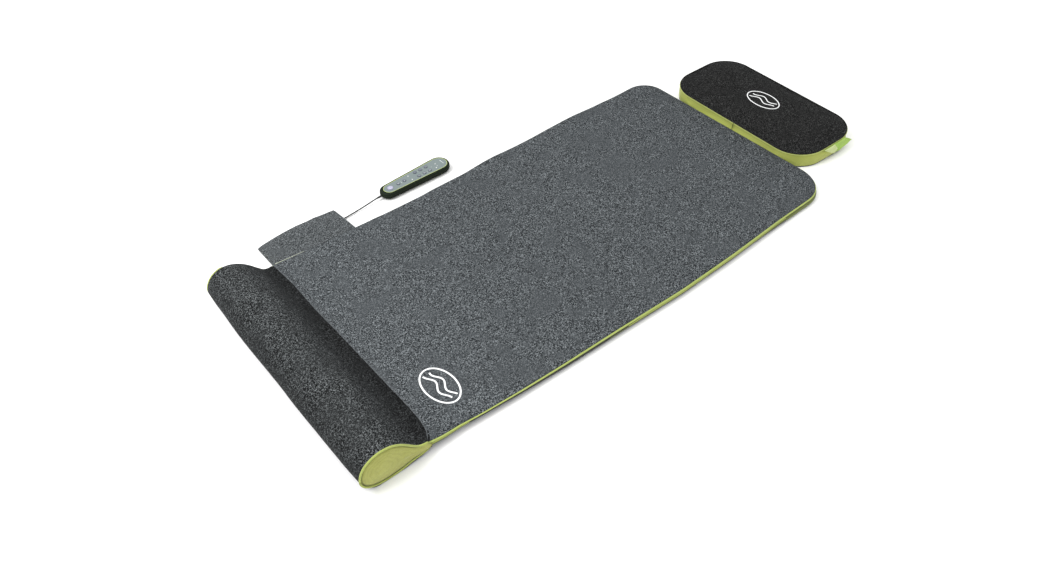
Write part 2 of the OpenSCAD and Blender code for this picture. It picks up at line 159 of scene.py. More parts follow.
def outward(o):
    """Turns the faces of a closed or nearly closed piece to face outward."""
    bm = bmesh.new()
    bm.from_mesh(o.data)
    bmesh.ops.recalc_face_normals(bm, faces=bm.faces)
    bm.to_mesh(o.data)
    bm.free()
    return o


def tube(name, P, r, mat, n=10, closed=False, flat=1.0, caps=True):
    """A tube along P with radius r, a number or one per point. flat squeezes it across the vertical."""
    P = np.asarray(P, float)
    k = len(P)
    r = np.full(k, r) if np.isscalar(r) else np.asarray(r)
    T = np.gradient(P, axis=0) if not closed else (np.roll(P, -1, 0) - np.roll(P, 1, 0))
    T /= np.linalg.norm(T, axis=1)[:, None]
    upv = np.array([0, 0, 1.0])
    U = np.cross(T, upv)
    bad = np.linalg.norm(U, axis=1) < 1e-3
    U[bad] = np.cross(T[bad], [0, 1.0, 0])
    U /= np.linalg.norm(U, axis=1)[:, None]
    V = np.cross(U, T)
    a = np.arange(n) * 2 * math.pi / n
    ring = P[:, None, :] + r[:, None, None] * (np.cos(a)[None, :, None] * U[:, None, :] + flat * np.sin(a)[None, :, None] * V[:, None, :])
    verts = ring.reshape(-1, 3)
    faces = grid_faces(k, n, close_u=closed, close_v=True)
    if not closed and caps:
        faces.append(tuple(range(n)))
        faces.append(tuple((k - 1) * n + j for j in reversed(range(n))))
    return outward(obj_from(name, verts, faces, mat))


def add_modifier(o, kind, **settings):
    mod = o.modifiers.new(kind.lower(), kind)
    for key, v in settings.items():
        setattr(mod, key, v)
    return mod


def bake_modifiers(o):
    dg = bpy.context.evaluated_depsgraph_get()
    me = bpy.data.meshes.new_from_object(o.evaluated_get(dg), depsgraph=dg)
    o.modifiers.clear()
    old = o.data
    o.data = me
    bpy.data.meshes.remove(old)
    return o


# ------------------------------------------------------------------ materials
def material(name):
    mt = bpy.data.materials.new(name)
    mt.use_nodes = True
    nt = mt.node_tree
    nt.nodes.clear()
    out = nt.nodes.new("ShaderNodeOutputMaterial")
    bsdf = nt.nodes.new("ShaderNodeBsdfPrincipled")
    nt.links.new(bsdf.outputs[0], out.inputs[0])
    return mt, nt, bsdf


def node(nt, kind, **settings):
    n = nt.nodes.new(kind)
    for k, v in settings.items():
        if k.startswith("i_"):
            n.inputs[k[2:].replace("_", " ")].default_value = v
        else:
            setattr(n, k, v)
    return n


def coords(nt, scale=(1, 1, 1)):
    tc = node(nt, "ShaderNodeTexCoord")
    mp = node(nt, "ShaderNodeMapping")
    mp.inputs["Scale"].default_value = scale
    nt.links.new(tc.outputs["Object"], mp.inputs["Vector"])
    return mp.outputs["Vector"]


def noise_node(nt, vec, scale, detail=2.0, rough=0.5, distortion=0.0):
    n = node(nt, "ShaderNodeTexNoise")
    n.inputs["Scale"].default_value = scale
    n.inputs["Detail"].default_value = detail
    n.inputs["Roughness"].default_value = rough
    n.inputs["Distortion"].default_value = distortion
    nt.links.new(vec, n.inputs["Vector"])
    return n.outputs["Fac"]


def ramp(nt, fac, stops, interpolation="LINEAR"):
    r = node(nt, "ShaderNodeValToRGB")
    r.color_ramp.interpolation = interpolation
    els = r.color_ramp.elements
    while len(els) < len(stops):
        els.new(0.5)
    for e, (p, c) in zip(els, stops):
        e.position = p
        e.color = (*c, 1) if len(c) == 3 else c
    nt.links.new(fac, r.inputs["Fac"])
    return r.outputs["Color"]


def mixc(nt, fac, a, b, mode="MIX"):
    mx = node(nt, "ShaderNodeMix", data_type="RGBA", blend_type=mode)
    for sock, v in ((mx.inputs["Factor"], fac), (mx.inputs[6], a), (mx.inputs[7], b)):
        if isinstance(v, bpy.types.NodeSocket):
            nt.links.new(v, sock)
        elif isinstance(v, (int, float)):
            sock.default_value = v
        else:
            sock.default_value = (*v, 1)
    return mx.outputs[2]


def mathn(nt, op, a, b=None, c=None):
    mn = node(nt, "ShaderNodeMath", operation=op)
    for i, v in enumerate((a, b, c)):
        if v is None:
            continue
        if isinstance(v, bpy.types.NodeSocket):
            nt.links.new(v, mn.inputs[i])
        else:
            mn.inputs[i].default_value = v
    return mn.outputs[0]


def bump(nt, bsdf, height, strength, distance, prev=None):
    b = node(nt, "ShaderNodeBump")
    b.inputs["Strength"].default_value = strength
    b.inputs["Distance"].default_value = distance
    nt.links.new(height, b.inputs["Height"])
    if prev is not None:
        nt.links.new(prev, b.inputs["Normal"])
    if bsdf is not None:
        nt.links.new(b.outputs[0], bsdf.inputs["Normal"])
    return b.outputs[0]


def along_x(nt, stops):
    """A grey factor that runs along X, in metres, used to paint light and shade into a colour."""
    tc = node(nt, "ShaderNodeTexCoord")
    sp = node(nt, "ShaderNodeSeparateXYZ")
    nt.links.new(tc.outputs["Object"], sp.inputs[0])
    mr = node(nt, "ShaderNodeMapRange")
    mr.inputs["From Min"].default_value, mr.inputs["From Max"].default_value = -0.7, 0.75
    nt.links.new(sp.outputs["X"], mr.inputs["Value"])
    return ramp(nt, mr.outputs[0], [((x + 0.7) / 1.45, (v, v, v)) for x, v in stops])


def knit(name, dark, mid, light, size=0.0032, spread=0.07, rough=0.93, sheen=0.06, tint=None, gradient=None, bump_d=0.0007, plain=0.45):
    """Heathered knit: short fibres of three tones, matted together, denser in some places than in others."""
    mt, nt, b = material(name)
    v = coords(nt)
    fib = noise_node(nt, v, 1 / size, 2.5, 0.60, 1.3)
    wisp = noise_node(nt, coords(nt, (1, 1.35, 1)), 0.40 / size, 2.0, 0.5, 2.4)
    patch = noise_node(nt, v, 21.0, 2.0, 0.55, 0.6)
    base = ramp(nt, fib, [(0.5 - spread, dark), (0.5 - spread * 0.2, mid), (0.5 + spread * 0.35, mid), (0.5 + spread * 1.35, light)])
    flat = mixc(nt, 0.30, mid, light)
    gate = ramp(nt, patch, [(0.36, (plain, plain, plain)), (0.50, (1.0, 1.0, 1.0))])
    base = mixc(nt, gate, mixc(nt, 0.5, mid, flat), base)
    w2 = ramp(nt, wisp, [(0.38, (0.80, 0.80, 0.80)), (0.52, (1.0, 1.0, 1.0)), (0.66, (1.22, 1.22, 1.22))])
    col = mixc(nt, 1.0, base, w2, "MULTIPLY")
    # the gradient paints light and shade along X into the colour
    if gradient:
        col = mixc(nt, 1.0, col, along_x(nt, gradient), "MULTIPLY")
    nt.links.new(col, b.inputs["Base Color"])
    b.inputs["Roughness"].default_value = rough
    b.inputs["Specular IOR Level"].default_value = 0.12
    b.inputs["Sheen Weight"].default_value = sheen
    b.inputs["Sheen Roughness"].default_value = 0.5
    b.inputs["Sheen Tint"].default_value = (*(tint or (0.75, 0.80, 0.84)), 1)
    loops = noise_node(nt, v, 1 / (size * 0.42), 2.0, 0.55, 0.6)
    h = mathn(nt, "ADD", mathn(nt, "MULTIPLY", fib, 0.7), mathn(nt, "MULTIPLY", loops, 0.45))
    bump(nt, b, h, 0.75, bump_d)
    return mt


def woven(name, col_a, col_b, thread=0.0011, mottling=0.09, rough=0.8, sheen=0.15, bump_d=0.0002, mottle_scale=26.0):
    """Plain weave: two sets of threads, with soft mottling."""
    mt, nt, b = material(name)
    v = coords(nt)
    waves = []
    for axis in ("X", "Y", "Z"):
        w = node(nt, "ShaderNodeTexWave", wave_type="BANDS", bands_direction=axis, wave_profile="SIN")
        w.inputs["Scale"].default_value = 0.314 / thread
        w.inputs["Distortion"].default_value = 0.35
        w.inputs["Detail"].default_value = 1.0
        w.inputs["Detail Scale"].default_value = 1.5
        nt.links.new(v, w.inputs["Vector"])
        waves.append(w.outputs["Fac"])
    weave = mathn(nt, "ADD", mathn(nt, "MULTIPLY", waves[0], waves[2]), mathn(nt, "MULTIPLY", waves[1], 0.5))
    mot = noise_node(nt, v, mottle_scale, 3.0, 0.55, 0.4)
    fine = noise_node(nt, v, 520.0, 2.0, 0.6)
    col = mixc(nt, mot, col_a, col_b)
    f2 = ramp(nt, fine, [(0.3, (1 - mottling,) * 3), (0.7, (1 + mottling,) * 3)])
    col = mixc(nt, 1.0, col, f2, "MULTIPLY")
    w2 = ramp(nt, weave, [(0.0, (0.88, 0.88, 0.88)), (0.7, (1.05, 1.05, 1.05))])
    col = mixc(nt, 1.0, col, w2, "MULTIPLY")
    nt.links.new(col, b.inputs["Base Color"])
    b.inputs["Roughness"].default_value = rough
    b.inputs["Specular IOR Level"].default_value = 0.25
    b.inputs["Sheen Weight"].default_value = sheen
    b.inputs["Sheen Roughness"].default_value = 0.5
    n1 = bump(nt, None, weave, 0.5, bump_d)
    bump(nt, b, mot, 0.35, 0.0018, n1)
    return mt


def plastic(name, col, rough=0.4, grain=0.0, coat=0.0, spec=0.5, speckle=0.05, metallic=0.0, scale=900.0):
    mt, nt, b = material(name)
    v = coords(nt)
    n = noise_node(nt, v, scale, 3.0, 0.6)
    wear = noise_node(nt, v, 60.0, 4.0, 0.6)
    c = mixc(nt, n, tuple(x * (1 - speckle) for x in col), tuple(min(1, x * (1 + speckle)) for x in col))
    nt.links.new(c, b.inputs["Base Color"])
    r = node(nt, "ShaderNodeMapRange")
    r.inputs["To Min"].default_value, r.inputs["To Max"].default_value = max(0.02, rough - 0.07), min(1, rough + 0.09)
    nt.links.new(wear, r.inputs["Value"])
    nt.links.new(r.outputs[0], b.inputs["Roughness"])
    b.inputs["Specular IOR Level"].default_value = spec
    b.inputs["Metallic"].default_value = metallic
    b.inputs["Coat Weight"].default_value = coat
    b.inputs["Coat Roughness"].default_value = 0.15
    if grain:
        bump(nt, b, n, 0.4, grain)
    return mt


def foam_mat(name, col):
    mt, nt, b = material(name)
    v = coords(nt)
    vo = node(nt, "ShaderNodeTexVoronoi", feature="F1")
    vo.inputs["Scale"].default_value = 700.0
    nt.links.new(v, vo.inputs["Vector"])
    n = noise_node(nt, v, 30.0, 3.0, 0.6)
    c = mixc(nt, n, tuple(x * 0.9 for x in col), col)
    c = mixc(nt, 1.0, c, ramp(nt, vo.outputs["Distance"], [(0.0, (0.75, 0.75, 0.75)), (0.6, (1.05, 1.05, 1.05))]), "MULTIPLY")
    nt.links.new(c, b.inputs["Base Color"])
    b.inputs["Roughness"].default_value = 0.95
    bump(nt, b, vo.outputs["Distance"], 0.6, 0.0005)
    return mt


def dotted(name, col, dot):
    """Dark carrier cloth with small rubber grip dots."""
    mt, nt, b = material(name)
    v = coords(nt, (1, 1, 0.0))
    vo = node(nt, "ShaderNodeTexVoronoi", feature="F1")
    vo.inputs["Scale"].default_value = 125.0
    vo.inputs["Randomness"].default_value = 0.0
    nt.links.new(v, vo.inputs["Vector"])
    fine = noise_node(nt, coords(nt), 420.0, 3.0, 0.6)
    m_ = ramp(nt, vo.outputs["Distance"], [(0.22, (1, 1, 1)), (0.27, (0, 0, 0))])
    c = mixc(nt, fine, tuple(x * 0.75 for x in col), tuple(x * 1.25 for x in col))
    c = mixc(nt, m_, c, dot)
    nt.links.new(c, b.inputs["Base Color"])
    r = ramp(nt, m_, [(0.0, (0.92, 0.92, 0.92)), (1.0, (0.55, 0.55, 0.55))])
    nt.links.new(r, b.inputs["Roughness"])
    h = mathn(nt, "ADD", m_, mathn(nt, "MULTIPLY", fine, 0.4))
    bump(nt, b, h, 0.6, 0.0006)
    return mt


def brushed(name, col, rough=0.3):
    mt, nt, b = material(name)
    n = noise_node(nt, coords(nt, (1, 14, 14)), 180.0, 3.0, 0.6)
    c = mixc(nt, n, tuple(x * 0.82 for x in col), col)
    nt.links.new(c, b.inputs["Base Color"])
    b.inputs["Metallic"].default_value = 1.0
    b.inputs["Roughness"].default_value = rough
    bump(nt, b, n, 0.2, 0.0001)
    return mt


def film_mat(name):
    mt, nt, b = material(name)
    n = noise_node(nt, coords(nt), 70.0, 4.0, 0.6, 1.0)
    c = mixc(nt, n, (0.42, 0.50, 0.56), (0.60, 0.68, 0.73))
    nt.links.new(c, b.inputs["Base Color"])
    b.inputs["Roughness"].default_value = 0.28
    b.inputs["Coat Weight"].default_value = 0.3
    bump(nt, b, n, 0.5, 0.0012)
    return mt


def board_mat(name):
    mt, nt, b = material(name)
    v = coords(nt)
    vo = node(nt, "ShaderNodeTexVoronoi", feature="DISTANCE_TO_EDGE")
    vo.inputs["Scale"].default_value = 260.0
    nt.links.new(v, vo.inputs["Vector"])
    tr = ramp(nt, vo.outputs["Distance"], [(0.02, (1, 1, 1)), (0.05, (0, 0, 0))])
    c = mixc(nt, tr, (0.006, 0.070, 0.022), (0.016, 0.17, 0.06))
    nt.links.new(c, b.inputs["Base Color"])
    b.inputs["Roughness"].default_value = 0.42
    bump(nt, b, tr, 0.3, 0.0001)
    return mt


# painted light and shade along the mat's top: lighter toward the foot, darker at the foot seam and toward the head edge
MAT_PAINTED_LIGHT = [(-0.54, 0.98), (-0.50, 1.08), (-0.42, 1.08), (-0.28, 1.03), (-0.12, 1.0), (0.2, 1.0), (0.42, 0.98), (0.50, 0.88), (0.53, 0.78)]
# painted shade across the roll: dark on its low foot side and in the valley by the panel, a painted highlight along the
# crest
ROLL_PAINTED_SHADE = [(-0.68, 0.42), (-0.662, 0.62), (-0.642, 0.97), (-0.620, 1.14), (-0.600, 1.10), (-0.582, 0.92), (-0.562, 0.70), (-0.548, 0.44), (-0.532, 0.30), (-0.515, 0.30)]
M_GREY = knit("grey_knit", (0.0080, 0.0091, 0.0101), (0.0305, 0.0345, 0.0378), (0.212, 0.231, 0.242), 0.0021, 0.072, sheen=0.05, gradient=MAT_PAINTED_LIGHT)
# a lighter copy of the grey knit that paints the highlight on turned edges
M_GREY_EDGE_HIGHLIGHT = knit("grey_knit_edge_painted_highlight", (0.030, 0.034, 0.036), (0.072, 0.080, 0.085), (0.20, 0.215, 0.22), 0.0022, 0.09)
M_POCKET = knit("pocket_knit", (0.0110, 0.0123, 0.0132), (0.0415, 0.0458, 0.0485), (0.215, 0.233, 0.242), 0.0021, 0.080, sheen=0.05)
M_DARK = knit("dark_knit", (0.0011, 0.0012, 0.0013), (0.0058, 0.0063, 0.0066), (0.158, 0.170, 0.174), 0.0022, 0.074, sheen=0.02, plain=0.6, gradient=ROLL_PAINTED_SHADE)
M_PILLOW = knit("pillow_knit", (0.0012, 0.0012, 0.0012), (0.0028, 0.0028, 0.0028), (0.058, 0.059, 0.058), 0.0021, 0.075, sheen=0.01, plain=0.5)
M_LIME = woven("lime_fabric", (0.320, 0.375, 0.085), (0.385, 0.435, 0.115))
# a darker copy of the lime fabric that paints the shade on the side strip's lower, turned-under part
M_LIME_PAINTED_SHADE = woven("lime_fabric_painted_shade", (0.120, 0.145, 0.040), (0.150, 0.175, 0.052))
# a near-black binding colour that paints the contact shadow along lower edges
M_BIND_PAINTED_SHADE = woven("edge_binding_painted_shade", (0.022, 0.023, 0.020), (0.030, 0.031, 0.028))
M_LIME_CAP = woven("lime_end_panel", (0.325, 0.333, 0.082), (0.405, 0.412, 0.115), mottling=0.08, bump_d=0.00025, mottle_scale=70.0)
# a lighter copy of the lime fabric that paints the highlight along the piping
M_LIME_PAINTED_HIGHLIGHT = woven("lime_piping_painted_highlight", (0.365, 0.445, 0.105), (0.445, 0.515, 0.150), mottling=0.06)
M_LIME_PILLOW = woven("lime_pillow", (0.345, 0.385, 0.080), (0.430, 0.465, 0.115), mottling=0.05)
# a paler lime copy that paints a highlight
M_STRAP_PAINTED_HIGHLIGHT = woven("lime_pale_painted_highlight", (0.500, 0.580, 0.240), (0.580, 0.650, 0.300), mottling=0.05)
# a paler lime that paints a highlight line
M_PIPING_PAINTED_HIGHLIGHT = woven("lime_welt_painted_highlight", (0.420, 0.480, 0.130), (0.500, 0.550, 0.180), mottling=0.05)
M_STRAP = woven("lime_strap", (0.300, 0.480, 0.070), (0.380, 0.560, 0.110), thread=0.0014, mottling=0.05)
# a darkened lime that paints the shade in seam grooves
M_GROOVE_PAINTED_SHADE = woven("seam_groove_painted_shade", (0.055, 0.075, 0.012), (0.075, 0.095, 0.018))
M_UNDER = dotted("underside_grip", (0.020, 0.021, 0.022), (0.010, 0.010, 0.010))
M_FOAM = foam_mat("foam_yellow", (0.62, 0.56, 0.38))
M_CORE = foam_mat("foam_ivory", (0.72, 0.69, 0.60))
M_FILM = film_mat("cell_film")
M_HOSE = plastic("hose_clear", (0.55, 0.57, 0.56), 0.3, coat=0.2)
M_HOUSING = plastic("housing_grey", (0.12, 0.125, 0.13), 0.5, grain=0.0001)
M_STEEL = brushed("steel_zinc", (0.62, 0.62, 0.60), 0.3)
M_BRASS = brushed("brass_rotor", (0.62, 0.45, 0.20), 0.32)
M_BOARD = board_mat("circuit_board")
M_BLACK = plastic("black_plastic", (0.012, 0.012, 0.013), 0.38, grain=0.00005)
M_CORD = plastic("cord_sheath", (0.014, 0.015, 0.014), 0.45, grain=0.00004)
M_BODY = plastic("handset_body", (0.011, 0.016, 0.010), 0.50, grain=0.00003, spec=0.06)
M_FACE = plastic("handset_face", (0.165, 0.200, 0.200), 0.42, spec=0.35, speckle=0.08, scale=420.0)
M_INLAY = plastic("handset_inlay", (0.56, 0.66, 0.22), 0.35)
M_LENS = plastic("led_lens", (0.86, 0.88, 0.84), 0.15, coat=0.5)
M_POWER = plastic("power_button", (0.34, 0.33, 0.46), 0.35, coat=0.1)
M_BTN = plastic("button_dark", (0.085, 0.100, 0.130), 0.35, coat=0.2)
M_PRINT = plastic("white_print", (0.86, 0.87, 0.87), 0.55, grain=0.00004, speckle=0.04, scale=600.0)
M_ICON = plastic("pale_icon", (0.62, 0.65, 0.64), 0.45)
M_THREAD = woven("pale_thread", (0.42, 0.45, 0.36), (0.52, 0.55, 0.46), thread=0.0006)

CAD_LOOKS = {
    "foot_foam": M_FOAM, "head_foam": M_FOAM,
    "hip_left_cell": M_FILM, "hip_right_cell": M_FILM, "lumbar_cell": M_FILM, "shoulder_left_cell": M_FILM, "shoulder_right_cell": M_FILM, "upper_back_cell": M_FILM,
    "foot_hoses": M_HOSE, "head_hoses": M_HOSE,
    "pump_case_lower": M_HOUSING, "pump_case_upper": M_HOUSING, "pump_motor": M_STEEL, "pump_rotor": M_BRASS, "pump_head": M_HOUSING,
    "valve_bank": M_BLACK, "control_board": M_BOARD, "dc_jack": M_BLACK, "cord_grommet": M_BLACK,
    "handset_face": M_FACE, "handset_inlay": M_INLAY, "handset_board": M_BOARD, "handset_leds": M_LENS, "handset_screws": M_STEEL,
    "handset_strain_relief": M_CORD, "pillow_core": M_CORE,
    "power_button": M_POWER, "warmth_button": M_BTN, "level_button": M_BTN,
}
for k in range(1, 7):
    CAD_LOOKS[f"program_button_{k}"] = M_BTN
for name, mt in CAD_LOOKS.items():
    o = NODES[name]
    if not o.material_slots:
        o.data.materials.append(mt)
    for s in o.material_slots:
        s.material = mt

# ------------------------------------------------------------------ the mat's own shape
X0, X1, HW = -0.525, 0.525, 0.280
RN, RF = 0.070, 0.054                      # corner radii at the head, near and far
FOLD = 0.075
BX = np.array([-0.30, -0.2803, -0.2700, -0.2594, -0.2450, -0.2315, -0.1985, 0.042, 0.106, 0.144, 0.174, 0.204, 0.229, 0.252, 0.274, 0.30])
BV = np.array([-0.5385, -0.5355, -0.5285, -0.5230, -0.5195, -0.5178, -0.5165, -0.5190, -0.5205, -0.5200, -0.5190, -0.5187, -0.5200, -0.5215, -0.5228, -0.5240])
# how far each side is drawn in, along the panel
NX = np.array([-0.53, -0.50, -0.47, -0.42, -0.35, -0.25, -0.10, 0.05, 0.20, 0.35, 0.45, 0.53])
NV = np.array([-0.0015, 0.0010, 0.0002, 0.0040, 0.0080, 0.0112, 0.0145, 0.0185, 0.0150, 0.0072, 0.0048, 0.0015])
FX = np.array([-0.53, -0.40, -0.32, -0.29, -0.255, -0.20, -0.17, -0.14, -0.08, -0.05, -0.02, 0.01, 0.04, 0.07, 0.10, 0.13, 0.16, 0.19, 0.22, 0.25, 0.28, 0.31, 0.34, 0.37, 0.40, 0.43, 0.46, 0.53])
FV = np.array([0.0, 0.0050, 0.0072, 0.0078, 0.0098, 0.0104, 0.0106, 0.0085, 0.0080, 0.0076, 0.0044, 0.0014, 0.0006, 0.0020, 0.0026, 0.0024, 0.0012, -0.0004, -0.0016, -0.0028, -0.0032, -0.0016, 0.0002, 0.0006, 0.0020, 0.0020, 0.0008, 0.0])


def foot_line(y):
    return np.interp(y, BX, BV)


def rise(x, y):
    """How far the top climbs to the roll at the foot."""
    u = np.clip((-0.425 - x) / 0.110, 0, 1.15)
    v = (y + 0.28) / 0.56
    top = np.interp(v, [0, 0.06, 0.25, 0.6, 1.0], [0.0100, 0.0092, 0.0070, 0.0055, 0.0022])
    return top * u ** 1.7


def ripples(x, y):
    P = np.stack([x, y, np.zeros_like(x)], -1)
    a = vnoise(P, (0.036, 0.16, 1), 3) * 0.00042 + vnoise(P, (0.075, 0.11, 1), 5) * 0.00060 + vnoise(P, (0.021, 0.055, 1), 9) * 0.00012
    edge = smooth((0.275 - np.abs(y)) / 0.03) * smooth((x - X0) / 0.02) * smooth((X1 - 0.008 - x) / 0.03)
    return a * edge


def warp(P):
    """From the flat panel to the panel as it lies: bowed sides, the foot's curved line, soft top."""
    P = np.array(P, float)
    x, y, z = P[..., 0], P[..., 1], P[..., 2]
    h = np.clip(z / 0.020, 0, 1.1)
    near_foot = 1 - smooth((x - X0) / 0.060)
    nx = x + (foot_line(y) - X0) * near_foot
    outer = smooth((np.abs(y) - 0.214) / 0.052)
    ny = y - np.where(y < 0, np.interp(x, NX, NV), np.interp(x, FX, FV)) * outer
    lift = 0.0085 * smooth((-0.20 - x) / 0.26) * smooth((-0.262 - y) / 0.018) + 0.004 * smooth((-0.44 - x) / 0.08) * smooth((y - 0.262) / 0.018)
    thin = 0.0022 * smooth((-0.10 - x) / 0.22) * smooth((-0.225 - y) / 0.05)
    top = z + h * (rise(nx, y) + ripples(x, y) - thin)
    nz = top + (1 - h) * lift
    return np.stack([nx, ny, nz], -1)


def top_normal(x, y, z=0.020, e=0.0006):
    X = warp(np.stack([x + e, y, np.full_like(x, z)], -1)) - warp(np.stack([x - e, y, np.full_like(x, z)], -1))
    Y = warp(np.stack([x, y + e, np.full_like(x, z)], -1)) - warp(np.stack([x, y - e, np.full_like(x, z)], -1))
    n = np.cross(X, Y)
    return n / np.linalg.norm(n, axis=-1)[..., None]


def custom_normals(o, which, normals):
    """Sets analytic normals at the vertices marked in which, so that neighbouring pieces shade as one cloth."""
    me = o.data
    n = np.zeros(len(me.vertices) * 3, np.float32)
    me.vertices.foreach_get("normal", n)
    n = n.reshape(-1, 3)
    n[which] = normals[which]
    me.normals_split_custom_set_from_vertices([tuple(v) for v in n.tolist()])


WINDOWS = {  # cell: (x low, x high, y low, y high, section, bulge body, joint patch)
    "hip_left": (-0.335, -0.165, -0.212, -0.018, "mat_base"),
    "hip_right": (-0.335, -0.165, 0.018, 0.212, "mat_base"),
    "lumbar": (-0.120, 0.015, -0.205, 0.205, "mat_base"),
    "upper_back": (0.140, 0.285, -0.205, 0.205, "head_section"),
    "shoulder_left": (0.325, 0.465, -0.212, -0.018, "head_section"),
    "shoulder_right": (0.325, 0.465, 0.018, 0.212, "head_section"),
}
D0 = 0.007                                  # where the flat top ends and the rolled edge begins


def half_width(x, side, d=0.0):
    r = (RN if side < 0 else RF) - d
    xc = X1 - d - r
    w = HW - d
    dx = np.clip(x - xc, 0, r)
    return w - r + np.sqrt(np.maximum(r * r - dx * dx, 0))


def lines(breaks, step):
    out = []
    for a, b in zip(breaks[:-1], breaks[1:]):
        n = max(1, int(round((b - a) / (step(a, b) if callable(step) else step))))
        out += list(np.linspace(a, b, n + 1)[:-1])
    return np.array(out + [breaks[-1]])


def build_top():
    rn = RN - D0
    xarc = X1 - D0 - rn + rn * np.sin(np.linspace(0, math.pi / 2, 13))
    step = lambda a, b: 0.0030 if a > 0.04 and b < 0.11 else 0.0095
    xb = [X0, -0.515, -0.50, -0.47, -0.43, -0.335, -0.165, -0.120, 0.015, 0.045, 0.058, 0.092, 0.105, 0.140, 0.285, 0.325, 0.465, xarc[1]]
    xs = lines([v for v in xb if v < xarc[1]] + [xarc[1]], lambda a, b: 0.0028 if a > 0.05 and b < 0.10 else (0.0055 if b < -0.42 else 0.0097))
    xs = np.concatenate([xs, xarc[2:]])
    ycore = lines([-0.212, -0.205, -0.018, 0.018, 0.205, 0.212], 0.0102)
    m_ = 8
    yn = np.linspace(-(HW - D0), -0.212, m_ + 1)[:-1]
    yf = np.linspace(0.212, HW - D0, m_ + 1)[1:]
    ys = np.concatenate([yn, ycore, yf])
    G = np.zeros((len(xs), len(ys), 3))
    for i, x in enumerate(xs):
        wn, wf = half_width(x, -1, D0), half_width(x, 1, D0)
        yy = ys.copy()
        yy[:m_] = -0.212 - (-0.212 - ys[:m_]) * (wn - 0.212) / (HW - D0 - 0.212)
        yy[-m_:] = 0.212 + (ys[-m_:] - 0.212) * (wf - 0.212) / (HW - D0 - 0.212)
        G[i, :, 0], G[i, :, 1], G[i, :, 2] = x, yy, 0.020
    return xs, ys, G


TOP_XS, TOP_YS, TOP_G = build_top()
for k_, w_ in WINDOWS.items():      # each window's sides lie on lines of the top cloth
    WINDOWS[k_] = tuple(float(L_[np.argmin(np.abs(L_ - v_))]) for L_, v_ in zip((TOP_XS, TOP_XS, TOP_YS, TOP_YS), w_[:4])) + w_[4:]
near_side = TOP_G[:, 0]                     # from foot to head along the near edge
head_side = TOP_G[-1, :]
far_side = TOP_G[::-1, -1]
LOOP = np.vstack([near_side, head_side[1:], far_side[1:]])   # foot-near, round the head, to foot-far


def loop_normals():
    out = []
    n1, n2 = len(near_side), len(head_side)
    for i, p in enumerate(LOOP):
        x, y = p[0], p[1]
        if y < 0:
            xc, yc = X1 - RN, -(HW - RN)
            v = np.array([x - xc, y - yc])
            if x <= xc:
                v = np.array([0, -1.0])
            elif y >= yc - 1e-9:
                v = np.array([1.0, 0])
        else:
            xc, yc = X1 - RF, HW - RF
            v = np.array([x - xc, y - yc])
            if x <= xc:
                v = np.array([0, 1.0])
            elif y <= yc + 1e-9:
                v = np.array([1.0, 0])
        out.append(v / np.linalg.norm(v))
    return np.array(out)


LOOP_N = loop_normals()


def ring_at(d, z):
    """The panel's outline drawn in by d, at height z, before warping."""
    P = LOOP.copy()
    P[:, :2] += LOOP_N * (D0 - d)
    P[:, 2] = z
    return P


def head_part(P):
    return smooth((P[:, 0] - 0.24) / 0.16)


def edge_profile_scale(P):
    """Along the near side at the foot the lower strip tucks under."""
    x, y = P[:, 0], P[:, 1]
    return smooth((0.02 - x) / 0.26) * smooth((-0.2 - y) / 0.03) * smooth((x + 0.535) / 0.05)


# --- top cloth with its rolled edge
def make_top():
    nx, ny = len(TOP_XS), len(TOP_YS)
    verts = TOP_G.reshape(-1, 3)
    flat = np.ones(len(verts), bool)
    faces = []
    for i in range(nx - 1):
        for j in range(ny - 1):
            cx = 0.5 * (TOP_XS[i] + TOP_XS[i + 1])
            cy = 0.5 * (TOP_YS[j] + TOP_YS[j + 1])
            if any(w[0] < cx < w[1] and w[2] < cy < w[3] for w in WINDOWS.values()):
                continue
            faces.append((i * ny + j, (i + 1) * ny + j, (i + 1) * ny + j + 1, i * ny + j + 1))
    loop_ids = [i * ny for i in range(nx)] + [(nx - 1) * ny + j for j in range(1, ny)] + [i * ny + ny - 1 for i in range(nx - 2, -1, -1)]
    prev = loop_ids
    allv = [verts]
    count = len(verts)
    for d, z in ((0.0048, 0.01992), (0.0030, 0.01960), (0.0018, 0.0190), (0.0011, 0.0183), (0.0010, 0.0176), (0.0018, 0.0170)):
        r = ring_at(d, z)
        ids = list(range(count, count + len(r)))
        for a in range(len(r) - 1):
            faces.append((prev[a], ids[a], ids[a + 1], prev[a + 1]))
        allv.append(r)
        count += len(r)
        prev = ids
    verts = np.vstack(allv)
    flat = np.concatenate([flat, np.zeros(count - len(flat), bool)])
    used = sorted({i for f in faces for i in f})
    remap = {o_: n_ for n_, o_ in enumerate(used)}
    P0 = verts[used]
    flat = flat[used]
    P = warp(P0)
    o = obj_from("mat_top_cloth", P, [tuple(remap[i] for i in f) for f in faces], M_GREY)
    custom_normals(o, flat, top_normal(P0[:, 0], P0[:, 1]))
    return o


top = make_top()
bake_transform(top)
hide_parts("foot_top_panel", "head_top_panel")


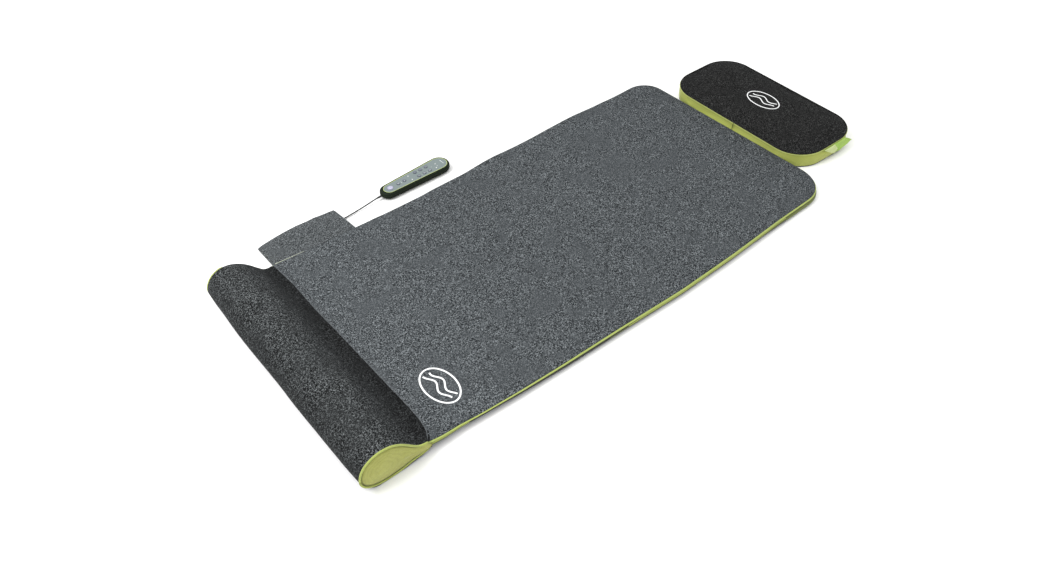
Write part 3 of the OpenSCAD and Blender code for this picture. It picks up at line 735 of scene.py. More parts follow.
def make_window(cell):
    x0, x1, y0, y1, section = WINDOWS[cell]
    m_ = min(x1 - x0, y1 - y0) / 2
    rows = 13
    T = smooth(np.linspace(0, 1, rows)) * 0.25 + np.linspace(0, 1, rows) * 0.75
    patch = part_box(cell + "_patch")
    made = []
    gx = TOP_XS[(TOP_XS > x0 - 1e-6) & (TOP_XS < x1 + 1e-6)]
    gy = TOP_YS[(TOP_YS > y0 - 1e-6) & (TOP_YS < y1 + 1e-6)]
    sx, sy = (gx - x0) / (x1 - x0), (gy - y0) / (y1 - y0)
    for side in ("foot", "head", "left", "right"):
        S = sy if side in ("foot", "head") else sx
        G = np.zeros((rows, len(S), 3))
        for i, t in enumerate(T):
            a0, a1 = (y0 + m_ * t, y1 - m_ * t) if side in ("foot", "head") else (x0 + m_ * t, x1 - m_ * t)
            along = a0 + S * (a1 - a0)
            if side == "foot":
                G[i, :, 0], G[i, :, 1] = x0 + m_ * t, along
            elif side == "head":
                G[i, :, 0], G[i, :, 1] = x1 - m_ * t, along
            elif side == "left":
                G[i, :, 1], G[i, :, 0] = y0 + m_ * t, along
            else:
                G[i, :, 1], G[i, :, 0] = y1 - m_ * t, along
        G[..., 2] = 0.020
        P0 = G.reshape(-1, 3)
        faces = grid_faces(rows, len(S), flip=side in ("foot", "right"))
        o = obj_from(f"{cell}_cloth_{side}", warp(P0), faces, M_GREY, weld=2e-6)
        bm = bmesh.new()
        bm.from_mesh(o.data)
        if sum(f.normal.z for f in bm.faces) < 0:
            bmesh.ops.reverse_faces(bm, faces=bm.faces)
        bm.to_mesh(o.data)
        bm.free()
        co = np.array([v.co for v in o.data.vertices])
        # the cloth's rest points before warping, found again after the weld by nearest point
        W = warp(P0)
        idx = np.array([int(np.argmin(((W - c) ** 2).sum(1))) for c in co])
        n = top_normal(P0[idx, 0], P0[idx, 1])
        custom_normals(o, np.ones(len(co), bool), n)
        made.append(o)
        if side == "foot":
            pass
        elif side == "head":
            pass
        elif side == "left":
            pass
        else:
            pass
        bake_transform(o)
    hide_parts(cell + "_patch")
    return made


for cell in WINDOWS:
    make_window(cell)


# --- piping, groove and lower strip round the panel
def edge_strip(name, profile, mat, tuck=0.0, closed_profile=False, head=None):
    """A strip round the panel from a list of (inset, height); head gives the list that holds at the head."""
    rings = []
    k = edge_profile_scale(LOOP)
    g = head_part(LOOP)
    for n_, (d, z) in enumerate(profile):
        base = ring_at(d, z)
        if head:
            base += (ring_at(*head[n_]) - base) * g[:, None]
        base[:, :2] -= LOOP_N * (tuck * k * float(smooth((0.0048 - z) / 0.0032)))[:, None]
        rings.append(base)
    R = np.array(rings)
    verts = R.reshape(-1, 3)
    faces = grid_faces(len(profile), len(LOOP), close_u=closed_profile)
    o = obj_from(name, warp(verts), faces, mat)
    return o


a = np.linspace(0, 2 * math.pi, 13)[:-1]
pip = [(0.0016 - 0.0025 * math.cos(t), 0.0150 + 0.0025 * math.sin(t)) for t in a]
# the piping takes the lighter lime, a painted highlight
piping = edge_strip("mat_edge_piping", pip, M_LIME_PAINTED_HIGHLIGHT, closed_profile=True)
outward(piping)
STRIP = [(0.0046, 0.0146), (0.0024, 0.0139), (0.0010, 0.0128), (0.0000, 0.0112), (-0.0006, 0.0092), (-0.0006, 0.0070), (0.0000, 0.0050), (0.0014, 0.0031), (0.0036, 0.0018), (0.0064, 0.0012), (0.0120, 0.0012)]
STRIP_H = [(0.0060, 0.0138), (0.0052, 0.0128), (0.0030, 0.0122), (0.0008, 0.0116), (-0.0012, 0.0104), (-0.0026, 0.0084), (-0.0030, 0.0062), (-0.0022, 0.0040), (0.0000, 0.0022), (0.0034, 0.0012), (0.0120, 0.0012)]
strip = edge_strip("mat_side_strip", STRIP, [M_LIME, M_LIME_PAINTED_SHADE, M_BIND_PAINTED_SHADE, M_GROOVE_PAINTED_SHADE], tuck=0.0075, head=STRIP_H)
# a lime band over a darker low edge, painted shade, and the bottom cloth's dark binding, which paints the contact
# shadow; at the head a dark stitch groove under the piping, painted shade in the groove
gh = head_part(LOOP)
rows_ = len(STRIP) - 1
idx_ = np.zeros((rows_, len(LOOP) - 1), np.int32)
for i_ in range(rows_):
    at_head = gh[:-1] > 0.90
    # the dark binding rows paint the contact shadow
    raised = edge_profile_scale(LOOP)[:-1] > {2: 0.24, 3: 0.44, 4: 0.66}.get(i_, 0.5)      # the binding narrows to a point
    side_ = np.where(raised, 0 if i_ < 2 else (1 if i_ < 3 else 2), 0 if i_ < 4 else (1 if i_ < 5 else 2))
    side_ = np.where(LOOP[:-1, 0] < -0.455, 0 if i_ < 4 else (1 if i_ < 5 else 2), side_)
    idx_[i_] = np.where(at_head, 3 if i_ < 2 else (1 if i_ < 8 else 2), side_)
strip.data.polygons.foreach_set("material_index", idx_.ravel())
# dark strip in the seam between the top cloth and the piping, painted shade
seam = edge_strip("mat_edge_seam", [(0.0019, 0.0176), (0.0042, 0.0172), (0.0060, 0.0138)], M_GROOVE_PAINTED_SHADE)


def face_out(o):
    """Turns an open ring strip so that its faces look away from the panel's middle."""
    bm = bmesh.new()
    bm.from_mesh(o.data)
    s = sum(f.normal.dot(Vector((f.calc_center_median().x * 0.3, f.calc_center_median().y, 0))) * f.calc_area() for f in bm.faces)
    if s < 0:
        bmesh.ops.reverse_faces(bm, faces=bm.faces)
    bm.to_mesh(o.data)
    bm.free()


for o in (strip, seam):
    face_out(o)
for o in (piping, strip, seam):
    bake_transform(o)
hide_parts("foot_side_band", "head_side_band")


def make_underside():
    """The grip cloth under the panel; it stops where the side strip turns under."""
    nx, ny = len(TOP_XS), len(TOP_YS)
    G = TOP_G.copy()
    x, y = G[..., 0].copy(), G[..., 1].copy()
    G[..., 2] = 0.0005
    for i in range(nx):
        wn, wf = -y[i, 0], y[i, -1]
        kk = edge_profile_scale(np.array([[x[i, 0], -0.28, 0]]))[0]
        near = np.clip((-y[i] - 0.200) / max(wn - 0.200, 1e-6), 0, 1)
        far = np.clip((y[i] - 0.200) / max(wf - 0.200, 1e-6), 0, 1)
        G[i, :, 1] += near * (0.0020 + 0.0075 * kk) - far * 0.0020
    G[..., 0] -= 0.0020 * np.clip((x - 0.47) / 0.048, 0, 1)
    faces = []
    for i in range(nx - 1):
        for j in range(ny - 1):
            faces.append((i * ny + j, i * ny + j + 1, (i + 1) * ny + j + 1, (i + 1) * ny + j))
    return obj_from("mat_underside_cloth", warp(G.reshape(-1, 3)), faces, M_UNDER)


under = make_underside()
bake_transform(under)
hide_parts("foot_bottom_panel", "head_bottom_panel")

# --- the turned hem where the panel meets the roll, in a lighter grey knit that paints the highlight along the fold
ys = np.linspace(-0.2795, 0.2785, 141)
hem_x = np.full_like(ys, X0)
hem0 = warp(np.stack([hem_x, ys, np.full_like(ys, 0.0199)], -1))
hem_P = hem0 + np.array([-0.0004, 0, -0.0004])
hem_P[:, 2] += 0.00035 * vnoise(hem_P, 0.02, 21)
hem_r = 0.00125 + 0.0002 * vnoise(hem_P, 0.012, 8)
hem = tube("mat_foot_hem", hem_P, hem_r, M_GREY_EDGE_HIGHLIGHT, n=10, flat=0.9)
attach(hem, "mat_base")

# ------------------------------------------------------------------ pump roll
# outlines in X and Z, from the tail's top over the roll and back to the tail's bottom
NEAR = np.array([(-0.5300, 0.0262), (-0.5390, 0.0285), (-0.5460, 0.0305), (-0.5535, 0.0350), (-0.5605, 0.0425), (-0.5710, 0.0555), (-0.5830, 0.0675), (-0.5980, 0.0775), (-0.6150, 0.0820), (-0.6320, 0.0808), (-0.6490, 0.0728), (-0.6600, 0.0610), (-0.6660, 0.0460), (-0.6668, 0.0310), (-0.6600, 0.0170), (-0.6480, 0.0075), (-0.6300, 0.0018), (-0.6120, 0.0004), (-0.5940, 0.0010), (-0.5780, 0.0038), (-0.5640, 0.0072), (-0.5520, 0.0095), (-0.5410, 0.0104), (-0.5300, 0.0104)])
MIDP = np.array([(-0.5130, 0.0225), (-0.5240, 0.0245), (-0.5350, 0.0275), (-0.5460, 0.0335), (-0.5560, 0.0420), (-0.5680, 0.0545), (-0.5810, 0.0660), (-0.5960, 0.0755), (-0.6130, 0.0808), (-0.6310, 0.0800), (-0.6480, 0.0722), (-0.6590, 0.0605), (-0.6655, 0.0460), (-0.6660, 0.0300), (-0.6590, 0.0155), (-0.6470, 0.0060), (-0.6300, 0.0008), (-0.6120, 0.0002), (-0.5940, 0.0002), (-0.5780, 0.0003), (-0.5640, 0.0004), (-0.5500, 0.0006), (-0.5360, 0.0008), (-0.5200, 0.0010)])
FAR = np.array([(-0.5220, 0.0205), (-0.5300, 0.0198), (-0.5365, 0.0196), (-0.5430, 0.0208), (-0.5490, 0.0262), (-0.5575, 0.0355), (-0.5680, 0.0475), (-0.5800, 0.0580), (-0.5940, 0.0655), (-0.6100, 0.0690), (-0.6250, 0.0676), (-0.6390, 0.0605), (-0.6490, 0.0495), (-0.6545, 0.0370), (-0.6550, 0.0250), (-0.6490, 0.0125), (-0.6380, 0.0045), (-0.6250, 0.0010), (-0.6100, 0.0002), (-0.5940, 0.0002), (-0.5800, 0.0003), (-0.5660, 0.0004), (-0.5520, 0.0006), (-0.5400, 0.0008), (-0.5270, 0.0010)])
_w = smooth((-0.555 - FAR[:, 0]) / 0.05)
FAR[:, 0] -= 0.0045 * _w
FAR[:, 1] *= 1 + 0.055 * _w
ROLL_N = 84
PN, PM, PF = (resample(catmull(c, 8), ROLL_N) for c in (NEAR, MIDP, FAR))


def inset_open(S, d):
    """An open outline drawn in by d, less so at the tail."""
    T = np.gradient(S, axis=0)
    T /= np.linalg.norm(T, axis=1)[:, None]
    N = np.stack([T[:, 1], -T[:, 0]], -1)
    if ((S - S.mean(0)) * N).sum() > 0:
        N = -N
    return S + N * d * smooth((-0.545 - S[:, 0]) / 0.03)[:, None]


PN = inset_open(PN, 0.0024)


def roll_section(y, inset=0.0):
    """The roll's outline at y, ROLL_N points in X and Z."""
    wn = 1 - smooth(np.array([(y + 0.285) / 0.060]))[0]
    wf = smooth(np.array([(y - 0.130) / 0.160]))[0]
    S = PM * (1 - wn) * (1 - wf) + PN * wn + PF * wf * (1 - wn)
    if inset:
        T = np.gradient(S, axis=0)
        T /= np.linalg.norm(T, axis=1)[:, None]
        S = S + np.stack([T[:, 1], -T[:, 0]], -1) * inset * ROLL_IN
    return S


_T = np.gradient(PM, axis=0)
_N = np.stack([_T[:, 1], -_T[:, 0]], -1)
ROLL_IN = 1.0 if ((PM - PM.mean(0)) * _N).sum() < 0 else -1.0
CAP_Y = 0.2795


def roll_grid(y0, y1, n, inset=0.0):
    G = np.zeros((n, ROLL_N, 3))
    for i, y in enumerate(np.linspace(y0, y1, n)):
        S = roll_section(y, inset)
        # the tail's top meets the hem line of the panel at this y
        hx = foot_line(y) + 0.004
        hz = float(0.0200 + rise(np.array([foot_line(y)]), np.array([y]))[0]) - 0.0022
        w = smooth((S[:, 0] + 0.556) / 0.034) * (np.arange(ROLL_N) < ROLL_N * 0.4)
        dx, dz = hx - S[0, 0], hz - S[0, 1]
        S = S + np.stack([w * dx, w * dz], -1)
        # the tail's bottom reaches as far
        wb = smooth((S[:, 0] + 0.575) / 0.05) * (np.arange(ROLL_N) > ROLL_N * 0.6)
        S[:, 0] += wb * (foot_line(y) + 0.006 - S[-1, 0])
        G[i, :, 0], G[i, :, 1], G[i, :, 2] = S[:, 0], y, S[:, 1]
    return G


ROLL_ROWS = 113


def simulate(o, pressure, frames, cap, pins=None, shrink=0.0, stiffness=18.0, bending=0.6, mass=0.25):
    """A short pressure run of cloth on o, with each point's travel capped, applied to its mesh."""
    rest = np.array([v.co for v in o.data.vertices], float)
    if pins is not None:
        g = o.vertex_groups.new(name="pin")
        g.add([int(i) for i in pins], 1.0, "REPLACE")
    md = o.modifiers.new("cloth", "CLOTH")
    cs = md.settings
    cs.quality = 6
    cs.mass = mass
    cs.tension_stiffness = cs.compression_stiffness = stiffness
    cs.shear_stiffness = stiffness * 0.6
    cs.bending_stiffness = bending
    cs.tension_damping = cs.compression_damping = 8
    cs.air_damping = 4
    cs.use_pressure = True
    cs.uniform_pressure_force = pressure
    cs.shrink_min = shrink
    cs.effector_weights.gravity = 0
    if pins is not None:
        cs.vertex_group_mass = "pin"
    md.collision_settings.use_collision = False
    md.collision_settings.use_self_collision = False
    md.point_cache.frame_start, md.point_cache.frame_end = 1, frames
    scene.frame_start, scene.frame_end = 1, max(frames, 2)
    for f in range(1, frames + 1):
        scene.frame_set(f)
    dg = bpy.context.evaluated_depsgraph_get()
    ev = o.evaluated_get(dg)
    me = ev.to_mesh()
    got = np.array([v.co for v in me.vertices], float)
    ev.to_mesh_clear()
    o.modifiers.remove(md)
    if len(got) != len(rest) or not np.isfinite(got).all():
        print("SIM skipped for", o.name)
        got = rest
    step = got - rest
    d = np.linalg.norm(step, axis=1)
    lim = cap if not np.isscalar(cap) else np.full(len(rest), cap)
    scale = np.where(d > 1e-9, lim * np.tanh(d / np.maximum(lim, 1e-6)) / np.maximum(d, 1e-9), 1.0)
    out = rest + step * scale[:, None]
    o.data.vertices.foreach_set("co", out.astype(np.float32).ravel())
    o.data.update()
    scene.frame_set(1)
    print("SIM", o.name, "moved up to", round(float(d.max()) * 1000, 2), "mm, mean", round(float(d.mean()) * 1000, 2))
    return out


def face_from(o, centre):
    """Turns an open sheet so that its faces look away from a line along Y through centre."""
    bm = bmesh.new()
    bm.from_mesh(o.data)
    bmesh.ops.recalc_face_normals(bm, faces=bm.faces)
    tot = sum(f.normal.dot(Vector((f.calc_center_median().x - centre[0], 0, f.calc_center_median().z - centre[2]))) * f.calc_area() for f in bm.faces)
    if tot < 0:
        bmesh.ops.reverse_faces(bm, faces=bm.faces)
    bm.to_mesh(o.data)
    bm.free()
    return o


def make_roll():
    G = roll_grid(-CAP_Y, CAP_Y, ROLL_ROWS)
    o = obj_from("roll_sim", G.reshape(-1, 3), grid_faces(ROLL_ROWS, ROLL_N), M_DARK)
    face_from(o, (-0.617, 0, 0.040))
    ids = np.arange(ROLL_ROWS * ROLL_N).reshape(ROLL_ROWS, ROLL_N)
    pins = np.concatenate([ids[0], ids[-1], ids[:, 0], ids[:, 1], ids[:, -1], ids[:, -2]])
    cap = np.full((ROLL_ROWS, ROLL_N), 0.0026)
    cap[:, int(ROLL_N * 0.62):] = 0.0008
    cap[:, :int(ROLL_N * 0.16)] = 0.0012
    G = simulate(o, 1.6, 18, cap.ravel(), pins=np.unique(pins)).reshape(ROLL_ROWS, ROLL_N, 3)
    bpy.data.objects.remove(o)
    # soft dents, and short pleats where the cover is sewn to the panel
    T = np.gradient(G, axis=1)
    N = np.cross(T, np.array([0, 1.0, 0]))
    N /= np.linalg.norm(N, axis=-1)[..., None] + 1e-12
    centre = np.array([-0.617, 0, 0.040])
    flip = np.sign(((G - centre) * N * np.array([1, 0, 1])).sum(-1).mean())
    N *= flip if flip else 1
    inner = smooth((CAP_Y - np.abs(G[..., 1])) / 0.02)
    upper = smooth((G[..., 2] - 0.006) / 0.02)
    dent = 0.0011 * vnoise(G, (0.05, 0.085, 0.05), 31) + 0.0005 * vnoise(G, (0.022, 0.035, 0.022), 33)
    neck = smooth((G[..., 0] + 0.585) / 0.03) * smooth((-0.520 - G[..., 0]) / 0.012) * upper
    near = 0.35 + 0.65 * smooth((-0.12 - G[..., 1]) / 0.12)
    wav = np.sin(G[..., 1] * 2 * math.pi / 0.0125 + 2.2 * vnoise(G, (0.05, 0.03, 0.05), 41))
    pleat = 0.0008 * wav * neck * near
    G = G + N * ((dent * upper + pleat) * inner)[..., None]
    G[..., 2] = np.maximum(G[..., 2], 0.0002)
    o = obj_from("roll_cover_cloth", G.reshape(-1, 3), grid_faces(ROLL_ROWS, ROLL_N), M_DARK)
    face_from(o, (-0.617, 0, 0.040))
    return o, G


roll, ROLL_G = make_roll()
c = np.array([v.co for v in roll.data.vertices]).mean(0)
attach(roll, "mat_base")
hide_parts("bolster_cover")

# the foam inside follows the cover
FG = roll_grid(-CAP_Y + 0.004, CAP_Y - 0.004, ROLL_ROWS, inset=0.0042)
FG[..., 2] = np.maximum(FG[..., 2], 0.0012)
FG[..., 0] = np.minimum(FG[..., 0], -0.5560)
nv = ROLL_N
ff = grid_faces(ROLL_ROWS, nv, close_v=True) + [tuple(range(nv)), tuple((ROLL_ROWS - 1) * nv + j for j in reversed(range(nv)))]
rf = outward(obj_from("roll_foam_core", FG.reshape(-1, 3), ff, M_FOAM))
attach(rf, "mat_base")
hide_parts("bolster_foam")


def offset_loop(L, d):
    T = np.roll(L, -1, 0) - np.roll(L, 1, 0)
    T /= np.linalg.norm(T, axis=1)[:, None] + 1e-12
    N = np.stack([T[:, 1], -T[:, 0]], -1)
    area = 0.5 * np.sum(L[:, 0] * np.roll(L[:, 1], -1) - np.roll(L[:, 0], -1) * L[:, 1])
    return L - N * d * np.sign(area)


CAPN = 150


def make_cap(name, sign, node_name):
    """The domed end panel, its sewn-in piping, and the tail that runs into the side strip."""
    S = ROLL_G[0 if sign < 0 else -1][:, [0, 2]].copy()
    e_top = warp(ring_at(0.0016, 0.0150)[[0 if sign < 0 else -1]])[0]
    e_bot = warp(ring_at(0.0010, 0.0040)[[0 if sign < 0 else -1]])[0]
    xe = e_top[0] + 0.006
    loop = np.vstack([S, [[xe - 0.004, e_bot[2] * 0.55 + S[-1, 1] * 0.45], [xe, e_bot[2] + 0.0006], [xe + 0.0005, 0.5 * (e_top[2] + e_bot[2])], [xe, e_top[2] + 0.0004], [xe - 0.004, e_top[2] + 0.0008]]])
    # drop points of the cover that lie beyond the tail's end
    keep = (loop[:, 0] < xe - 0.003) | (np.arange(len(loop)) >= len(S))
    L = resample(loop[keep], CAPN, closed=True)
    edge = offset_loop(L, 0.0010 if sign < 0 else 0.0026)
    c0, c1 = np.array([-0.622, 0.040]), np.array([-0.540, 0.5 * (e_top[2] + e_bot[2]) + 0.001])
    d = c1 - c0
    t = np.round(np.clip(((edge - c0) @ d) / (d @ d), 0, 1) * 36) / 36
    foot = c0 + t[:, None] * d
    width = np.linalg.norm(edge - foot, axis=1)
    rows = []
    tail = smooth((-0.552 - edge[:, 0]) / 0.03)
    for s in (0.0, 0.03, 0.06, 0.09, 0.13, 0.18, 0.24, 0.31, 0.39, 0.48, 0.58, 0.69, 0.80, 0.90, 1.0):
        ring = edge + (foot - edge) * s
        dist = width * s if s < 1 else np.full(len(edge), 0.02)
        dome = 0.0056 * (1 - (1 - s) ** 2) * (1 - t) ** 0.8 * smooth((dist - 0.0016) / 0.003)
        yy = CAP_Y + 0.0006 - 0.0020 * np.exp(-((dist - 0.0024) / 0.0013) ** 2) * tail + dome + 0.0008 * (1 - tail)
        P = np.stack([ring[:, 0], sign * yy, ring[:, 1]], -1)
        amp = smooth((dist - 0.001) / 0.008)
        P[:, 1] += sign * amp * (0.00075 * vnoise(P, (0.017, 1, 0.017), 51) + 0.0004 * vnoise(P, (0.007, 1, 0.007), 53))
        rows.append(P)
    R = np.array(rows)
    V = R.reshape(-1, 3)
    F = grid_faces(len(rows), CAPN, close_v=True)
    o = obj_from(name, V, F, M_LIME_CAP, weld=3e-5)
    bm = bmesh.new()
    bm.from_mesh(o.data)
    bmesh.ops.holes_fill(bm, edges=bm.edges, sides=0)
    if sum(f.normal.y * f.calc_area() for f in bm.faces) * sign < 0:
        bmesh.ops.reverse_faces(bm, faces=bm.faces)
    bm.to_mesh(o.data)
    bm.free()
    o.data.polygons.foreach_set("use_smooth", [True] * len(o.data.polygons))
    # piping sewn into the seam, open at the tail, where it runs into the panel's piping
    pl = offset_loop(L, 0.0002)
    if sign > 0:      # at the far end the cover hides the piping, but for the upper foot side
        shown = smooth((-0.612 - L[:, 0]) / 0.014) * smooth((L[:, 1] - 0.022) / 0.014)
        deep = offset_loop(L, 0.0040)
        pl = deep + (offset_loop(L, 0.0012) - deep) * shown[:, None]
    start = int(np.argmax(pl[:, 0]))
    pl = np.roll(pl, -start, axis=0)
    n0 = 5
    path = pl[n0:-n0]
    pts = np.stack([path[:, 0], np.full(len(path), sign * (CAP_Y + 0.0010)), np.maximum(path[:, 1], 0.0019)], -1)
    if pts[0, 2] < pts[-1, 2]:
        pts = pts[::-1]
    ahead = warp(ring_at(0.0016, 0.0150)[[3 if sign < 0 else -4]])[0]
    pts = np.vstack([[ahead], [e_top], pts[2:], [e_bot + np.array([0.002, 0, 0.0006])]])
    rad = np.full(len(pts), 0.0019)
    rad[:4] = (0.0022, 0.0023, 0.0021, 0.0020)
    rad[-8:] = np.linspace(0.0018, 0.0008, 8)
    p = tube(name + "_piping", pts, rad, M_LIME, n=12)
    # the dark stitch line just inside the piping, painted shade in the seam groove
    gl = offset_loop(L, 0.0034 if sign < 0 else 0.0050)
    gl = gl[(gl[:, 0] < -0.560) & ((gl[:, 1] > 0.024) | (gl[:, 0] < -0.590))]
    order = np.argsort((np.arctan2(gl[:, 1] - 0.038, gl[:, 0] + 0.58) + math.radians(60)) % (2 * math.pi))
    gl = gl[order]
    gpts = np.stack([gl[:, 0], np.full(len(gl), sign * (CAP_Y - 0.0004)), np.maximum(gl[:, 1], 0.0034)], -1)
    g = tube(name + "_stitch", gpts, 0.0008, M_GROOVE_PAINTED_SHADE, n=8)
    # the dark welt of the cover's lower side, under the end panel, which paints the thin contact shadow under the cap
    lo = offset_loop(L, -0.0030)
    lo = lo[(lo[:, 1] < 0.024) & (lo[:, 0] > -0.652) & (lo[:, 0] < -0.538)]
    lo = lo[np.argsort(lo[:, 0])]
    wpts = np.stack([lo[:, 0], np.full(len(lo), sign * (CAP_Y + 0.0002)), np.maximum(lo[:, 1], 0.0021)], -1)
    wr = 0.0016 * smooth(np.linspace(0, 1, len(lo)) / 0.10) * smooth((1 - np.linspace(0, 1, len(lo))) / 0.10) + 0.0003
    if sign < 0:
        welt = tube(name + "_welt", wpts, wr, M_BIND_PAINTED_SHADE, n=8)
        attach(welt, "mat_base")
    for q in (o, p, g):
        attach(q, "mat_base")
    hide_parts(node_name)
    return o, p


cap_near, cap_near_piping = make_cap("roll_end_near", -1, "left_end_cap")
cap_far, cap_far_piping = make_cap("roll_end_far", 1, "right_end_cap")

# short upright seam where the end panel's tail meets the side strip
for sign, nm in ((-1, "near"), (1, "far")):
    e1 = warp(ring_at(-0.0004, 0.0138)[[0 if sign < 0 else -1]])[0]
    e2 = warp(ring_at(-0.0004, 0.0045)[[0 if sign < 0 else -1]])[0]
    s0 = np.array([e1, 0.5 * (e1 + e2), e2]) + np.array([-0.003, sign * 0.0012, 0])
    t_ = tube("tail_seam_" + nm, catmull(s0, 5), 0.0007, M_THREAD, n=8)
    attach(t_, "mat_base")

# ------------------------------------------------------------------ side pocket
PK0, PK1 = -0.518, -0.336
PROF = catmull(np.array([(0.2780, 0.0188), (0.2880, 0.0178), (0.3000, 0.0162), (0.3130, 0.0146), (0.3250, 0.0128), (0.3360, 0.0108), (0.3470, 0.0082), (0.3560, 0.0056), (0.3612, 0.0036), (0.3622, 0.0022), (0.3608, 0.0009), (0.3540, 0.0005), (0.3300, 0.0004), (0.3050, 0.0004), (0.2820, 0.0005)]), 5)
PROF = resample(PROF, 64)


def pocket_grid():
    xs = np.concatenate([[PK0], np.linspace(PK0 + 0.003, PK1, 44)])
    G = np.zeros((len(xs), len(PROF), 3))
    t = (xs - X0) / (X1 - X0)
    k = 4 * t * (1 - t)
    for i, x in enumerate(xs):
        G[i, :, 0] = x
        root = smooth((0.362 - PROF[:, 0]) / 0.082)
        G[i, :, 1] = PROF[:, 0] - k[i] * 0.0085 * root
        G[i, :, 2] = PROF[:, 1]
    # at the closed foot side the top comes down to the bottom
    for i in range(len(xs)):
        w = smooth(np.array([(xs[i] - PK0) / 0.012]))[0]
        flat_ = np.interp(G[i, :, 1], [0.28, 0.36], [0.0065, 0.0022])
        topm = G[i, :, 2] > 0.002
        G[i, topm, 2] = G[i, topm, 2] * (0.35 + 0.65 * w) + (1 - 0.35 - 0.65 * w) * np.minimum(G[i, topm, 2], flat_[topm])
    out_ = np.interp(xs, [PK0, -0.47, -0.4226, -0.38, PK1], [0.0028, 0.0078, 0.0108, 0.0096, 0.0062])[:, None]
    bell = np.sin(math.pi * np.clip((xs - PK0) / (PK1 - PK0), 0, 1))[:, None]
    far_ = smooth((G[..., 1] - 0.300) / 0.055)
    G[..., 1] += out_ * far_
    G[..., 2] += (0.0010 + 0.0030 * bell) * far_ * smooth((G[..., 2] - 0.0012) / 0.003)
    up_ = smooth((G[..., 2] - 0.002) / 0.004)
    wob = 0.0007 * vnoise(G, (0.045, 0.03, 1), 61) + 0.0006 * vnoise(G, (0.02, 0.02, 1), 63)
    G[..., 2] += wob * up_
    # outer corners are a little rounded
    cx = smooth((xs - PK0) / 0.006)[:, None] * smooth((PK1 - xs) / 0.006 + 0.2)[:, None]
    G[..., 1] -= (1 - cx) * 0.0012 * smooth((G[..., 1] - 0.34) / 0.02)
    return xs, G


pxs, PG = pocket_grid()
npk, npp = PG.shape[:2]
pf = grid_faces(npk, npp)
pocket = obj_from("side_pocket_cloth", PG.reshape(-1, 3), pf, M_POCKET)
bm = bmesh.new()
bm.from_mesh(pocket.data)
bm.verts.ensure_lookup_table()
half = npp // 2
end = [bm.verts[j] for j in range(npp)]
for j in range(npp // 2 - 1):          # close the foot side
    try:
        bm.faces.new((end[j], end[j + 1], end[npp - 2 - j], end[npp - 1 - j]))
    except ValueError:
        pass
bmesh.ops.recalc_face_normals(bm, faces=bm.faces)
bm.to_mesh(pocket.data)
bm.free()
pocket.data.polygons.foreach_set("use_smooth", [True] * len(pocket.data.polygons))
c_ = np.array([f.center[:] for f in pocket.data.polygons])
n_ = np.array([f.normal[:] for f in pocket.data.polygons])
if (n_[:, 2] * (c_[:, 2] - 0.005)).sum() < 0:
    pocket.data.flip_normals()
add_modifier(pocket, "SOLIDIFY", thickness=0.0012, offset=-1.0)
bake_modifiers(pocket)
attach(pocket, "mat_base")
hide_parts("side_pocket")

# hem round the pocket's mouth
mouth = PG[-1].copy()
mouth[:, 0] -= 0.0004
mouth[:, 2] = np.maximum(mouth[:, 2], 0.0014)
# the hem takes the lighter edge knit, a painted highlight along the turned edge
hem_m = tube("side_pocket_hem", resample(mouth, 90), 0.00115, M_GREY_EDGE_HIGHLIGHT, n=8)
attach(hem_m, "mat_base")
# row of stitches where the pocket is sewn to the panel; their pale thread also paints the light that catches the seam
st_pts = warp(np.stack([np.linspace(-0.522, -0.455, 24), np.full(24, 0.2775), np.full(24, 0.0203)], -1))
st = tube("side_pocket_seam", st_pts, np.linspace(0.0008, 0.00035, 24), M_THREAD, n=8)
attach(st, "mat_base")

# ------------------------------------------------------------------ the hand control's cord
TAIL = [(-485, 285.2, 8), (-485, 289, 7.9), (-485.2, 293, 7.5), (-485.6, 298, 7.0), (-486.1, 303, 6.6), (-486.4, 308, 6.4)]
RUN = [(-462, 332.3, 3.4), (-450, 331.8, 3.4), (-436, 331.2, 3.4), (-420, 330.6, 3.4), (-404, 330.1, 3.4), (-388, 329.7, 3.4), (-372, 329.4, 3.4), (-358, 329.2, 3.4), (-346, 329.1, 3.4)]
for i_ in range(12):
    t_ = i_ / 11
    RUN.append((-336 + 92 * t_, 329.2 + 5.9 * t_, 3.3 + 5.75 * t_ - 1.3 * math.sin(math.pi * t_)))
RUN.append((-242.45, 335.2, 9.05))



def coil_points():
    """Three and a quarter turns in two layers: in on the upper outer place, out on the lower outer one."""
    out = []
    n = 26
    for i in range(1, int(3.25 * n)):
        u = i / n
        k, f = int(u), u - int(u)
        ang = math.radians(180 - 360 * u)
        UO, UI, LI, LO = (18.5, 6.35), (15.45, 6.35), (15.45, 3.3), (18.5, 3.35)
        mv = lambda a_, b_, s_, e_: tuple(np.array(a_) + (np.array(b_) - np.array(a_)) * float(smooth(np.array([(f - s_) / (e_ - s_)]))[0]))
        if k == 0:
            r, z = mv(UO, UI, 0.70, 0.92)
        elif k == 1:
            r, z = mv(UI, LI, 0.50, 0.68)
        elif k == 2:
            r, z = mv(LI, LO, 0.30, 0.48)
        else:
            r, z = LO
        out.append((-468 + r * math.cos(ang), 314 + r * math.sin(ang), z))
    return out


